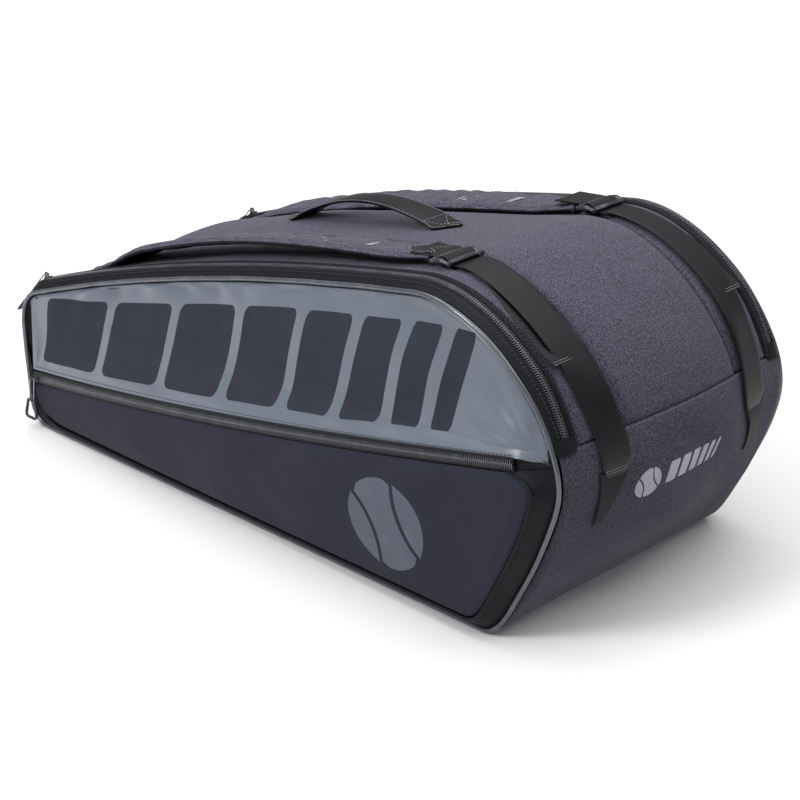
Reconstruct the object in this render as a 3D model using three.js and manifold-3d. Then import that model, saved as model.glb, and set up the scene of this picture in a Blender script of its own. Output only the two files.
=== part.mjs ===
// Racket tournament bag: a padded shell with two racket compartments, a zipped pocket on each side,
// two shoulder straps and a carry handle. Millimetres, +Z up. The origin is on the floor under the
// middle of the bag; +X points to the wide end for the racket heads and -Y to the near side.
import * as THREE from 'three';
import { mergeVertices } from 'three/addons/utils/BufferGeometryUtils.js';
import Module from 'manifold-3d';

const wasm = await Module();
wasm.setup();

// ---- driving dimensions ----
const HALF_DEPTH = 160;          // centre plane to the side piping
const FLOOR_NARROW_X = -338;     // where the flat base ends at the narrow end
const FLOOR_WIDE_X = 288;        // where the flat base ends at the wide end
const NARROW_CORNER = new THREE.Vector2(-350, 157);
const TOP_END = new THREE.Vector2(200, 304);
const TOP_RADIUS = 2910;         // the long, shallow arc of the top edge
const WIDE_X = 375;              // outermost point of the side outline
const NARROW_X = -375;
const PIPING_RADIUS = 2.4;
const PIPING_INSET = 2.6;
const PANEL_INSET = 7.0;         // side panels start this far inside the outline
const CREASE_Y = 82;             // seam between the top gusset and each gusset band
const ZIP_Y = 146.4;             // line of the main zip on each side
const TAPE = 6.4;                // width of a zip half
const CREASE_RISE = 5;           // height of the crease seam over the outline, along the top
const WIDE_RISE = 11;            // and round the wide end
const CROWN = 15;                // extra height of the top gusset at the centre plane
const MIDDLE_CROWN = 6;
const WIDE_TOP_CROWN = 4;
const WIDE_CROWN = 8;
const ZIP_RISE = 7;
const FABRIC = 2.4;              // padded gusset fabric
const PANEL = 3.2;               // padded side panel
const COIL = 1.4;                // how far a zip coil stands over its tape
const GAP = 0.4;                 // sewing gap between neighbouring pieces
const FOLD_NARROW_Z = 150;       // the side panel folds out about the line between the zip ends
const FOLD_WIDE_Z = 206;
const POCKET_ZIP_NARROW = new THREE.Vector3(-362, 162, 56);
const POCKET_ZIP_WIDE = new THREE.Vector3(340, 176, 187);
const POCKET_ZIP_RADIUS = 2970;
const WEBBING_Y = 100;           // middle of the shoulder strap webbing
const WEBBING = 36;              // its width
const PAD_INNER_Y = 71;
const PAD_OUTER_Y = 127;
const PAD_NARROW_X = -300;
const PAD_WIDE_X = 184;
const PAD_THICKNESS = 6.5;
const HANDLE_NARROW_X = -100;
const HANDLE_WIDE_X = 88;
const HANDLE_WIDTH = 40;
const HANDLE_ARCH = 22;
const WIRE = 0.7;                // radius of a zip bail
const BAIL_HALF = 3.6;           // half its width
const BAIL_LENGTH = 42;
const POCKET_BAIL = 24;
const TAB_LENGTH = 30;
const EYE_HEIGHT = 4.7;          // middle of a slider's eye over the slider's underside
const BAG_MIDDLE = new THREE.Vector3(0, 0, 150);

// ---- fabrics and fittings ----
const finish = (name, color, roughness, metalness = 0) => {
  const material = new THREE.MeshStandardMaterial({ color, roughness, metalness });
  material.name = name;
  return material;
};
const shellFabric = finish('shell_fabric', 0x3c3a41, 0.9);
const coatedFabric = finish('coated_fabric', 0x63676d, 0.45);
const pocketFabric = finish('pocket_fabric', 0x24252c, 0.8);
const blackNylon = finish('black_nylon', 0x1c1c20, 0.6);
const pipingCord = finish('piping', 0x2a2b31, 0.35);
const webbingFabric = finish('webbing', 0x1b1b1e, 0.6);
const zipTape = finish('zip', 0x17171a, 0.6);
const zipMetal = finish('slider_metal', 0x3a3a3e, 0.35, 0.9);
const hardPlastic = finish('hard_plastic', 0x1e1e21, 0.45);
const liningFabric = finish('lining', 0x2c2c31, 0.85);

const bag = new THREE.Group();

/** Adds one named sub-part, with its faces turned outwards. */
function add(name, geometry, material) {
  const g = geometry.index ? geometry : mergeVertices(geometry);
  g.deleteAttribute('normal');
  g.deleteAttribute('uv');
  const merged = mergeVertices(g, 1e-4);
  if (signedVolume(merged) < 0) {
    const index = merged.index.array;
    for (let i = 0; i < index.length; i += 3) [index[i], index[i + 1]] = [index[i + 1], index[i]];
  }
  merged.computeVertexNormals();
  const mesh = new THREE.Mesh(merged, material);
  mesh.name = name;
  bag.add(mesh);
}

function signedVolume(geometry) {
  const p = geometry.attributes.position;
  const index = geometry.index.array;
  const [a, b, c] = [new THREE.Vector3(), new THREE.Vector3(), new THREE.Vector3()];
  let volume = 0;
  for (let i = 0; i < index.length; i += 3) {
    a.fromBufferAttribute(p, index[i]);
    b.fromBufferAttribute(p, index[i + 1]);
    c.fromBufferAttribute(p, index[i + 2]);
    volume += a.dot(b.cross(c));
  }
  return volume;
}

// ---- the side outline, in (x, z), from the narrow end of the floor over the top and back ----
const outline = new THREE.Path();
{
  const chord = TOP_END.clone().sub(NARROW_CORNER);
  const down = new THREE.Vector2(chord.y, -chord.x).normalize();
  const centre = NARROW_CORNER.clone().add(TOP_END).multiplyScalar(0.5)
    .addScaledVector(down, Math.sqrt(TOP_RADIUS ** 2 - chord.lengthSq() / 4));
  const angleTo = (p) => Math.atan2(p.y - centre.y, p.x - centre.x);
  outline.moveTo(FLOOR_NARROW_X, 0);
  outline.bezierCurveTo(FLOOR_NARROW_X - 20, 0, -369, 12, -370, 32);
  outline.lineTo(NARROW_X, 108);
  outline.bezierCurveTo(NARROW_X - 2, 130, -366, 150.5, NARROW_CORNER.x, NARROW_CORNER.y);
  outline.absarc(centre.x, centre.y, TOP_RADIUS, angleTo(NARROW_CORNER), angleTo(TOP_END), true);
  outline.bezierCurveTo(288, 317, WIDE_X, 227, WIDE_X, 165);
  outline.bezierCurveTo(WIDE_X, 138, 352, 86, 330, 44);
  outline.bezierCurveTo(316, 16, 306, 0, FLOOR_WIDE_X, 0);
  outline.lineTo(FLOOR_NARROW_X, 0);
}
const OUTLINE_STEPS = 1600;
const outlinePoints = outline.getSpacedPoints(OUTLINE_STEPS);

/** Point of the outline at t (0 to 1, by length), moved inwards by inset. */
function outlineAt(t, inset = 0) {
  const at = THREE.MathUtils.clamp(t, 0, 1) * OUTLINE_STEPS;
  const i = Math.min(Math.floor(at), OUTLINE_STEPS - 1);
  const p = outlinePoints[i].clone().lerp(outlinePoints[i + 1], at - i);
  const span = 3;
  const tangent = outlinePoints[Math.min(i + span, OUTLINE_STEPS)].clone()
    .sub(outlinePoints[Math.max(i - span + 1, 0)]).normalize();
  return new THREE.Vector2(p.x + tangent.y * inset, p.y - tangent.x * inset);
}

/** Where the outline passes closest to a point, looking only between two places on it. */
function outlineNear(x, z, from = 0, to = 1) {
  let best = from;
  let least = Infinity;
  for (let i = Math.round(from * OUTLINE_STEPS); i <= to * OUTLINE_STEPS; i += 1) {
    const distance = Math.hypot(outlinePoints[i].x - x, outlinePoints[i].y - z);
    if (distance < least) [least, best] = [distance, i / OUTLINE_STEPS];
  }
  return best;
}

/** The place on the top of the outline that lies over x. */
function outlineOver(x) {
  let best = 0.1;
  for (let i = 0; i <= OUTLINE_STEPS; i += 1) {
    const top = outlinePoints[i].y > 150;
    const nearer = Math.abs(outlinePoints[i].x - x)
      < Math.abs(outlinePoints[Math.round(best * OUTLINE_STEPS)].x - x);
    if (top && nearer) best = i / OUTLINE_STEPS;
  }
  return best;
}

const FLOOR_END_T = outlineNear(FLOOR_WIDE_X, 0);
const NARROW_SEAM_T = outlineNear(NARROW_X + 5, 141, 0, 0.5);
const WIDE_SEAM_T = outlineNear(372, 201, 0.3, FLOOR_END_T);
const FOLD_NARROW_T = outlineNear(NARROW_X + 3, FOLD_NARROW_Z, 0, 0.5);
const FOLD_WIDE_T = outlineNear(WIDE_X - 3, FOLD_WIDE_Z, 0.3, FLOOR_END_T);
const TOP_T = outlineNear(0, 262);

/** Spreads u (0 to 1) over part of the outline, closer together where it turns. */
function outlineSpread(from, to, bendWeight = 900) {
  const steps = 400;
  const effort = [0];
  let before = null;
  for (let i = 1; i <= steps; i += 1) {
    const a = outlineAt(from + ((to - from) * (i - 1)) / steps);
    const b = outlineAt(from + ((to - from) * i) / steps);
    const way = b.clone().sub(a);
    const turn = before ? Math.abs(Math.atan2(before.cross(way), before.dot(way))) : 0;
    before = way;
    effort.push(effort[i - 1] + way.length() + turn * bendWeight / Math.PI);
  }
  return (u) => {
    const goal = u * effort[steps];
    const i = Math.max(1, effort.findIndex((e) => e >= goal - 1e-9));
    const share = (goal - effort[i - 1]) / Math.max(effort[i] - effort[i - 1], 1e-9);
    return from + ((to - from) * (i - 1 + share)) / steps;
  };
}

// ---- the rise of the gusset over the outline ----
const ramp = (x, from, to) => THREE.MathUtils.smoothstep(x, from, to);
const mix = THREE.MathUtils.lerp;

/** How far the gusset's outer face stands outside the outline at t and y. */
function rise(t, y) {
  const p = outlineAt(t);
  const a = Math.abs(y);
  const onTop = t > NARROW_SEAM_T && t < WIDE_SEAM_T;
  const wide = ramp(p.x, 110, 250);
  const low = p.x > 0 ? ramp(p.y, 8, 110) : ramp(p.y, 8, 60) * (onTop ? 1 : 0.6);
  const start = ramp(p.x, -352, -225);
  const crease = mix(mix(2, CREASE_RISE, start), WIDE_RISE, wide);
  const wideCrown = mix(WIDE_TOP_CROWN, WIDE_CROWN, ramp(p.x, 280, 370));
  const crown = mix(mix(0, mix(CROWN, MIDDLE_CROWN, ramp(p.x, -100, 80)), start), wideCrown, wide);
  const zip = mix(mix(1, ZIP_RISE, ramp(p.x, -368, -344)), 2, ramp(p.x, 330, 372));
  let height;
  if (a <= CREASE_Y) height = crease + crown * (1 - (a / CREASE_Y) ** 2);
  else if (a <= ZIP_Y) height = mix(crease, zip, (a - CREASE_Y) / (ZIP_Y - CREASE_Y));
  else height = mix(zip, 0.5, ramp(a, ZIP_Y + 3, HALF_DEPTH - 3));
  return height * low;
}

/** Point on the gusset at t and y, lifted off its outer face. */
function onGusset(t, y, lift = 0) {
  const p = outlineAt(t, -(rise(t, y) + lift));
  return new THREE.Vector3(p.x, y, p.y);
}

/** Height of the gusset over the floor at a place on the top. */
function topAt(x, y, lift = 0) {
  const t = outlineOver(x);
  let best = onGusset(t, y, lift);
  for (let d = -0.02; d <= 0.02; d += 0.0005) {
    const p = onGusset(THREE.MathUtils.clamp(t + d, NARROW_SEAM_T, WIDE_SEAM_T), y, lift);
    if (Math.abs(p.x - x) < Math.abs(best.x - x)) best = p;
  }
  return best.z;
}

/** A sheet of fabric: a segmented box bent so that place(u, v) is its outer face. */
function sheet(uSteps, vSteps, thickness, place) {
  const g = new THREE.BoxGeometry(1, 1, 1, uSteps, vSteps, 1);
  g.deleteAttribute('normal');
  g.deleteAttribute('uv');
  const box = mergeVertices(g, 1e-4);
  const position = box.attributes.position;
  const step = 0.004;
  for (let i = 0; i < position.count; i += 1) {
    const u = position.getX(i) + 0.5;
    const v = position.getY(i) + 0.5;
    const depth = (0.5 - position.getZ(i)) * thickness;
    const p = place(u, v);
    const alongU = place(Math.min(u + step, 1), v).sub(place(Math.max(u - step, 0), v));
    const alongV = place(u, Math.min(v + step, 1)).sub(place(u, Math.max(v - step, 0)));
    const normal = alongU.cross(alongV).normalize();
    if (normal.dot(p.clone().sub(BAG_MIDDLE)) < 0) normal.negate();
    p.addScaledVector(normal, -depth);
    position.setXYZ(i, p.x, p.y, p.z);
  }
  return box;
}

/** A sheet whose four edges are given as curves: bottom and top along u, left and right along v. */
function coons(bottom, top, left, right, bulge = 0) {
  const corners = [bottom(0), bottom(1), top(0), top(1)];
  return (u, v) => {
    const p = bottom(u).multiplyScalar(1 - v).addScaledVector(top(u), v)
      .addScaledVector(left(v), 1 - u).addScaledVector(right(v), u)
      .addScaledVector(corners[0], -(1 - u) * (1 - v)).addScaledVector(corners[1], -u * (1 - v))
      .addScaledVector(corners[2], -(1 - u) * v).addScaledVector(corners[3], -u * v);
    p.y += bulge * Math.sin(Math.PI * u) * Math.sin(Math.PI * v);
    return p;
  };
}

const straight = (a, b) => (s) => a.clone().lerp(b, s);
/** A list of chosen places in v, each u share between two of them. */
const rungs = (places) => (v) => {
  const at = THREE.MathUtils.clamp(v, 0, 1) * (places.length - 1);
  const i = Math.min(Math.floor(at), places.length - 2);
  return mix(places[i], places[i + 1], at - i);
};

/** A round cord along points, closed at its ends. */
function cord(points, radius, sides, steps, closed = false) {
  const section = new THREE.Shape();
  for (let i = 0; i < sides; i += 1) {
    const a = (2 * Math.PI * i) / sides;
    section[i ? 'lineTo' : 'moveTo'](radius * Math.cos(a), radius * Math.sin(a));
  }
  const extrudePath = new THREE.CatmullRomCurve3(points, closed, 'centripetal');
  return new THREE.ExtrudeGeometry(section, { steps, bevelEnabled: false, extrudePath });
}

// ---- zips of the side pockets: one long arc, bowed outwards ----
const zipAlong = POCKET_ZIP_WIDE.clone().sub(POCKET_ZIP_NARROW);
const zipUp = new THREE.Vector3(-zipAlong.z, 0, zipAlong.x).normalize();
const zipInwards = zipUp.clone().cross(zipAlong).normalize();
if (zipInwards.y > 0) zipInwards.negate();
const pocketZipCentre = POCKET_ZIP_NARROW.clone().add(POCKET_ZIP_WIDE).multiplyScalar(0.5)
  .addScaledVector(zipInwards, Math.sqrt(POCKET_ZIP_RADIUS ** 2 - zipAlong.lengthSq() / 4));
const POCKET_ZIP_ANGLE = 2 * Math.asin(zipAlong.length() / 2 / POCKET_ZIP_RADIUS);

/** Point on a pocket zip, s from 0 at the narrow end to 1, moved up across the tape and outwards. */
function pocketZip(s, up = 0, out = 0) {
  const turn = (s - 0.5) * POCKET_ZIP_ANGLE;
  const outwards = zipInwards.clone().negate();
  const along = zipAlong.clone().normalize();
  return pocketZipCentre.clone()
    .addScaledVector(outwards, (POCKET_ZIP_RADIUS + out) * Math.cos(turn))
    .addScaledVector(along, (POCKET_ZIP_RADIUS + out) * Math.sin(turn))
    .addScaledVector(zipUp, up);
}

/** How far from the centre plane the side panel stands at x along the fold line. */
function foldDepth(x) {
  const s = THREE.MathUtils.clamp((x - POCKET_ZIP_NARROW.x) / zipAlong.x, 0, 1);
  const zip = pocketZip(s);
  const top = outlineAt(outlineOver(x)).y;
  const foldZ = mix(FOLD_NARROW_Z, FOLD_WIDE_Z, (x - NARROW_X) / (WIDE_X - NARROW_X));
  const share = THREE.MathUtils.clamp((top - foldZ) / Math.max(top - zip.z, 1), 0, 1);
  return mix(HALF_DEPTH, zip.y, 0.85 * share);
}

const foldNarrow = outlineAt(FOLD_NARROW_T, PANEL_INSET);
const foldWide = outlineAt(FOLD_WIDE_T, PANEL_INSET);

/** Point on the fold line of a side panel, s from the narrow end to the wide end. */
function foldLine(s, up = 0) {
  const x = mix(foldNarrow.x, foldWide.x, s);
  const z = mix(foldNarrow.y, foldWide.y, s);
  const ends = ramp(s, 0, 0.12) * ramp(1 - s, 0, 0.1);
  return new THREE.Vector3(x, mix(HALF_DEPTH, foldDepth(x), ends), z + up);
}

const upperEdgeSpread = outlineSpread(FOLD_NARROW_T + 0.012, FOLD_WIDE_T - 0.012);
const WELT_TOP_T = outlineNear(364, 186, FOLD_WIDE_T, FLOOR_END_T);
const WELT_END_T = 1;
const weltSpread = outlineSpread(WELT_TOP_T, WELT_END_T);
const outlineEdge = (t, y, inset) => {
  const p = outlineAt(t, inset);
  return new THREE.Vector3(p.x, y, p.y);
};

/** Edge of the pocket's front, s from the wide end of its zip round the heel to the narrow end. */
function weltAt(s, inset = 0) {
  const t = weltSpread(s);
  const p = outlineAt(t);
  const share = THREE.MathUtils.clamp((p.x - FLOOR_NARROW_X) / (FLOOR_WIDE_X - FLOOR_NARROW_X), 0, 1);
  const inwards = mix(9, 17, share) + inset;
  return outlineEdge(t, mix(165, 178, share), inwards);
}

// ---- the two sides, mirrored about the centre plane ----
for (const [sideName, side] of [['near', -1], ['far', 1]]) {
  const flip = (p) => new THREE.Vector3(p.x, p.y * side, p.z);
  const fabric = (name, uSteps, vSteps, thickness, place, material) =>
    add(`${sideName}_${name}`, sheet(uSteps, vSteps, thickness, (u, v) => flip(place(u, v))), material);
  const tube = (name, points, radius, sides, steps, material) =>
    add(`${sideName}_${name}`, cord(points.map(flip), radius, sides, steps), material);

  // gusset band between the crease seam and the main zip
  const bandSpread = outlineSpread(NARROW_SEAM_T, WIDE_SEAM_T);
  fabric('gusset_band', 22, 3, FABRIC,
    (u, v) => onGusset(bandSpread(u), mix(CREASE_Y + GAP / 2, ZIP_Y - TAPE - GAP, v)), shellFabric);

  // main zip: a tape with its coil on each side of the zip line
  const stringer = (sign, tapeEnd) => {
    const across = rungs([tapeEnd, ZIP_Y + sign * 3.2, ZIP_Y + sign * 3, ZIP_Y + sign * 0.15]);
    return (u, v) => onGusset(bandSpread(mix(0.005, 0.995, u)), across(v), v > 0.5 ? COIL : 0);
  };
  fabric('main_zip_inner_half', 22, 3, 1.2, stringer(-1, ZIP_Y - TAPE), zipTape);
  fabric('main_zip_outer_half', 22, 3, 1.2, stringer(1, HALF_DEPTH - 3.2), zipTape);

  // side panel: a strip over the pocket zip, and the part above it that folds out
  fabric('panel_upper', 22, 4, PANEL, coons(
    (u) => foldLine(u, GAP),
    (u) => outlineEdge(upperEdgeSpread(u), HALF_DEPTH, PANEL_INSET),
    (v) => outlineEdge(mix(FOLD_NARROW_T + 0.0003, FOLD_NARROW_T + 0.012, v), HALF_DEPTH, PANEL_INSET),
    (v) => outlineEdge(mix(FOLD_WIDE_T - 0.0003, FOLD_WIDE_T - 0.012, v), HALF_DEPTH, PANEL_INSET),
    3,
  ), coatedFabric);
  const stripUp = TAPE + GAP + 1.8;
  const stripStart = pocketZip(0.004, stripUp);
  const stripEnd = foldLine(1).add(new THREE.Vector3(-2, 0, -5));
  fabric('panel_lower', 18, 3, PANEL, coons(
    (u) => (u < 0.95 ? pocketZip(mix(0.004, 1, u / 0.95), stripUp)
      : pocketZip(1, stripUp).lerp(stripEnd, (u - 0.95) / 0.05)),
    (u) => foldLine(u),
    straight(stripStart, foldLine(0)),
    straight(stripEnd, foldLine(1)),
    1,
  ), coatedFabric);

  // piping, in two lengths that part at the fold line
  const pipingPoints = (from, to, count) => {
    const spread = outlineSpread(from, to);
    return Array.from({ length: count }, (_, i) =>
      outlineEdge(spread(i / (count - 1)), HALF_DEPTH, PIPING_INSET));
  };
  tube('upper_piping', pipingPoints(FOLD_NARROW_T + 0.0012, FOLD_WIDE_T - 0.0012, 26),
    PIPING_RADIUS, 6, 30, pipingCord);
  tube('lower_piping', [
    ...pipingPoints(FOLD_WIDE_T + 0.0012, 0.9998, 16),
    ...pipingPoints(0.0008, FOLD_NARROW_T - 0.0012, 10),
  ], PIPING_RADIUS, 6, 34, pipingCord);

  // pocket: zip halves, front, welt round its edge, wall from the welt to the piping, and its back
  const pocketStringer = (sign) => {
    const across = rungs([sign * TAPE, sign * 3.2, sign * 3, sign * 0.15]);
    return (u, v) => pocketZip(mix(0.003, 0.997, u), across(v), v > 0.5 ? COIL : 0);
  };
  fabric('pocket_zip_upper_half', 12, 3, 1.2, pocketStringer(1), zipTape);
  fabric('pocket_zip_lower_half', 12, 3, 1.2, pocketStringer(-1), zipTape);
  const frontHeelS = 0.3;
  const frontNarrow = weltAt(1, 4).setZ(34).setX(-361);
  fabric('pocket_front', 14, 6, FABRIC, coons(
    (u) => (u > 0.04 ? weltAt(mix(0.985, frontHeelS, (u - 0.04) / 0.96), 4)
      : frontNarrow.clone().lerp(weltAt(0.985, 4), u / 0.04)),
    (u) => pocketZip(mix(0.004, 1, u), -TAPE - GAP),
    straight(frontNarrow, pocketZip(0.004, -TAPE - GAP)),
    (v) => weltAt(mix(frontHeelS, 0, v), 4).lerp(pocketZip(1, -TAPE - GAP), ramp(v, 0.75, 1)),
    5,
  ), pocketFabric);
  tube('pocket_welt', Array.from({ length: 27 }, (_, i) => weltAt((0.985 * i) / 26)), 1.6, 6, 30, pipingCord);
  fabric('pocket_wall', 26, 2, 1.6, (u, v) =>
    outlineEdge(weltSpread(mix(0, 0.985, u)), HALF_DEPTH + 0.8, PANEL_INSET + 0.6)
      .lerp(weltAt(mix(0, 0.985, u), -3.8), v), blackNylon);
  fabric('pocket_back', 14, 5, 1.6, coons(
    (u) => outlineEdge(mix(0.993, FLOOR_END_T + 0.006, u), 151, 9),
    (u) => foldLine(u, -4).setY(151),
    (v) => outlineEdge(mix(0.004, FOLD_NARROW_T, v), 151, 9),
    (v) => outlineEdge(mix(FLOOR_END_T - 0.003, FOLD_WIDE_T, v), 151, 9),
  ), liningFabric);

  // shoulder pad, arched clear of the bag in the middle
  const padSpread = (u) => mix(PAD_NARROW_X, PAD_WIDE_X, u);
  const padHeight = (x, y) => {
    const arch = Math.sin(Math.PI * THREE.MathUtils.clamp((x - PAD_NARROW_X) / 484, 0, 1));
    const outer = (y - PAD_INNER_Y) / (PAD_OUTER_Y - PAD_INNER_Y);
    return PAD_THICKNESS + mix(2 + 3 * arch, 3.5 + 11 * arch, outer);
  };
  const padAt = (u, y) => {
    const x = padSpread(u);
    const t = outlineOver(x);
    const floor = Math.max(rise(t, PAD_INNER_Y), rise(t, y));
    const p = outlineAt(t, -(floor + padHeight(x, y)));
    return new THREE.Vector3(p.x, y, p.y);
  };
  fabric('shoulder_pad', 16, 4, PAD_THICKNESS,
    (u, v) => padAt(u, mix(PAD_INNER_Y, PAD_OUTER_Y, v)), shellFabric);

  // webbing over the wide end, its loose tail, and the nylon tab sewn over its lower end
  const webStart = outlineNear(214, 305, TOP_T, WIDE_SEAM_T);
  const webEnd = outlineNear(375, 168, TOP_T, FLOOR_END_T);
  const webSpread = outlineSpread(webStart, webEnd, 2400);
  fabric('strap_webbing', 14, 2, 1.4, (u, v) => {
    const half = mix(WEBBING / 2, WEBBING / 2 - 5, ramp(u, 0.9, 1));
    const t = webSpread(u);
    return onGusset(t, WEBBING_Y + mix(-half, half, v), 4.4);
  }, webbingFabric);
  const tailEnd = outlineNear(352, 232, TOP_T, WIDE_SEAM_T);
  fabric('strap_tail', 8, 1, 1.2, (u, v) =>
    onGusset(outlineSpread(webStart + 0.003, tailEnd)(u), mix(94, 128, v), 2.1), webbingFabric);
  const tabSpread = outlineSpread(outlineNear(375, 166, TOP_T, FLOOR_END_T),
    outlineNear(368, 128, TOP_T, FLOOR_END_T));
  fabric('anchor_tab', 4, 1, 1.6, (u, v) =>
    onGusset(tabSpread(u), mix(mix(88, 106, u), mix(117, 115, u), v), 2.1), blackNylon);

  // ladder-lock buckle at the end of the pad
  const buckleShape = new THREE.Shape();
  const [buckleX, buckleY] = [12, 23];
  const buckleCorner = 3;
  buckleShape.moveTo(-buckleX + buckleCorner, -buckleY);
  buckleShape.lineTo(buckleX - buckleCorner, -buckleY);
  buckleShape.lineTo(buckleX, -buckleY + buckleCorner);
  buckleShape.lineTo(buckleX, buckleY - buckleCorner);
  buckleShape.lineTo(buckleX - buckleCorner, buckleY);
  buckleShape.lineTo(-buckleX + buckleCorner, buckleY);
  buckleShape.lineTo(-buckleX, buckleY - buckleCorner);
  buckleShape.lineTo(-buckleX, -buckleY + buckleCorner);
  for (const [from, to, half] of [[-9, -4, 19.5], [1.5, 8, 18.8]]) {
    const slot = new THREE.Path();
    slot.moveTo(from, -half);
    slot.lineTo(from, half);
    slot.lineTo(to, half);
    slot.lineTo(to, -half);
    buckleShape.holes.push(slot);
  }
  const buckle = new THREE.ExtrudeGeometry(buckleShape, { depth: 4, bevelEnabled: false });
  buckle.rotateY(THREE.MathUtils.degToRad(-3));
  buckle.translate(198.5, side * WEBBING_Y, topAt(198, WEBBING_Y) + 4);
  add(`${sideName}_buckle`, buckle, hardPlastic);

  // main zip slider on the narrow corner, with its wire bail and tab hanging over it
  const sliderT = outlineNear(-341, 162, 0, 0.5);
  const sliderPoint = onGusset(sliderT, ZIP_Y, 0);
  const sliderTangent = outlineAt(sliderT + 0.003).sub(outlineAt(sliderT - 0.003));
  const sliderSlope = Math.atan2(sliderTangent.y, sliderTangent.x);
  add(`${sideName}_main_slider`, sliderBody(false)
    .translate(0, 0, COIL + 0.5).rotateY(-sliderSlope)
    .translate(sliderPoint.x, side * (ZIP_Y + 0.05), sliderPoint.z), zipMetal);
  const loopCentre = new THREE.Vector3(0, 0, COIL + 0.5 + EYE_HEIGHT)
    .applyAxisAngle(new THREE.Vector3(0, 1, 0), -sliderSlope).add(sliderPoint).setY(0);
  const hang = new THREE.Vector3(-0.69, 0, -0.724).normalize();
  const bail = [[BAIL_HALF, BAIL_LENGTH], [BAIL_HALF, 1.4], [BAIL_HALF - 1.4, 0],
    [1.4 - BAIL_HALF, 0], [-BAIL_HALF, 1.4], [-BAIL_HALF, BAIL_LENGTH]]
    .map(([y, down]) => loopCentre.clone().addScaledVector(hang, down).add(
      new THREE.Vector3(0, side * (ZIP_Y + 0.05) + y, 0)));
  add(`${sideName}_main_bail`, cord(bail, WIRE, 6, 20), zipMetal);
  const hangAngle = Math.atan2(-hang.z, -hang.x);
  add(`${sideName}_main_tab`, new THREE.BoxGeometry(TAB_LENGTH, 10.5, 2.2)
    .translate(-(BAIL_LENGTH + GAP + TAB_LENGTH / 2), 0, 0).rotateY(-hangAngle)
    .translate(loopCentre.x, side * (ZIP_Y + 0.05), loopCentre.z), hardPlastic);

  // pocket zip slider at the narrow end, with its wire bail and open D-shaped puller hanging down
  const pocketSliderAt = pocketZip(0.016, 0, COIL + 1.1);
  const pocketSlope = Math.atan2(zipAlong.z, zipAlong.x);
  add(`${sideName}_pocket_slider`, sliderBody(true)
    .rotateX(side < 0 ? Math.PI / 2 : -Math.PI / 2).rotateY(-pocketSlope)
    .translate(pocketSliderAt.x, side * pocketSliderAt.y, pocketSliderAt.z), zipMetal);
  const hookY = pocketSliderAt.y + EYE_HEIGHT;
  const slopeAt = (along) => along * Math.tan(pocketSlope);
  const pocketBail = [[BAIL_HALF, POCKET_BAIL], [BAIL_HALF, 1.4], [BAIL_HALF - 1.4, 0],
    [1.4 - BAIL_HALF, 0], [-BAIL_HALF, 1.4], [-BAIL_HALF, POCKET_BAIL]]
    .map(([along, down]) => new THREE.Vector3(pocketSliderAt.x + along - down * 0.09,
      side * (hookY + down * 0.02), pocketSliderAt.z + slopeAt(along) - down));
  add(`${sideName}_pocket_bail`, cord(pocketBail, WIRE, 6, 20), zipMetal);
  const ring = new THREE.Shape();
  ring.moveTo(-6, 0);
  ring.lineTo(6, 0);
  ring.lineTo(9, -17);
  ring.quadraticCurveTo(9, -21, 5, -21);
  ring.lineTo(-5, -21);
  ring.quadraticCurveTo(-9, -21, -9, -17);
  const ringHole = new THREE.Path();
  ringHole.moveTo(-3.6, -4);
  ringHole.lineTo(-5, -17.6);
  ringHole.lineTo(5, -17.6);
  ringHole.lineTo(3.6, -4);
  ring.holes.push(ringHole);
  const puller = new THREE.ExtrudeGeometry(ring, { depth: 3, bevelEnabled: false, curveSegments: 4 });
  puller.translate(0, 0, -1.5).rotateX(Math.PI / 2).rotateY(0.09)
    .translate(pocketSliderAt.x - 2, side * (hookY + 0.5), pocketSliderAt.z - POCKET_BAIL - 1.9);
  add(`${sideName}_pocket_puller`, puller, hardPlastic);
}

/** A zip slider lying on its chain along X; the eye of its crown runs across the chain or along it. */
function sliderBody(eyeAlong) {
  const plate = new THREE.BoxGeometry(9.6, 8.4, 1.8).translate(1.6, 0, 0.9);
  const loop = new THREE.Shape();
  loop.moveTo(-3.2, 0);
  loop.lineTo(3.2, 0);
  loop.lineTo(3, 5.4);
  loop.lineTo(-3, 5.4);
  const eye = new THREE.Path();
  eye.moveTo(-2.2, 1.9);
  eye.lineTo(2.2, 1.9);
  eye.lineTo(1.9, 4.7);
  eye.lineTo(-1.9, 4.7);
  loop.holes.push(eye);
  const crown = new THREE.ExtrudeGeometry(loop, { depth: 3, bevelEnabled: false })
    .translate(0, 0, -1.5).rotateX(Math.PI / 2).rotateZ(eyeAlong ? Math.PI / 2 : 0).translate(0, 0, 1.4);
  return joined(plate, crown);
}

/** One body made of two that meet. */
function joined(a, b) {
  const solid = (geometry) => {
    geometry.deleteAttribute('normal');
    geometry.deleteAttribute('uv');
    const merged = mergeVertices(geometry, 1e-4);
    return new wasm.Manifold(new wasm.Mesh({
      numProp: 3,
      vertProperties: merged.attributes.position.array,
      triVerts: new Uint32Array(merged.index.array),
    }));
  };
  const mesh = solid(a).add(solid(b)).getMesh();
  const geometry = new THREE.BufferGeometry();
  geometry.setAttribute('position', new THREE.BufferAttribute(new Float32Array(mesh.vertProperties), 3));
  geometry.setIndex(Array.from(mesh.triVerts));
  return geometry;
}

// ---- the parts on the centre plane ----
const centreSpread = outlineSpread(NARROW_SEAM_T, WIDE_SEAM_T);
add('top_gusset', sheet(24, 6, FABRIC,
  (u, v) => onGusset(centreSpread(u), mix(-CREASE_Y + GAP / 2, CREASE_Y - GAP / 2, v))), shellFabric);

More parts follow.
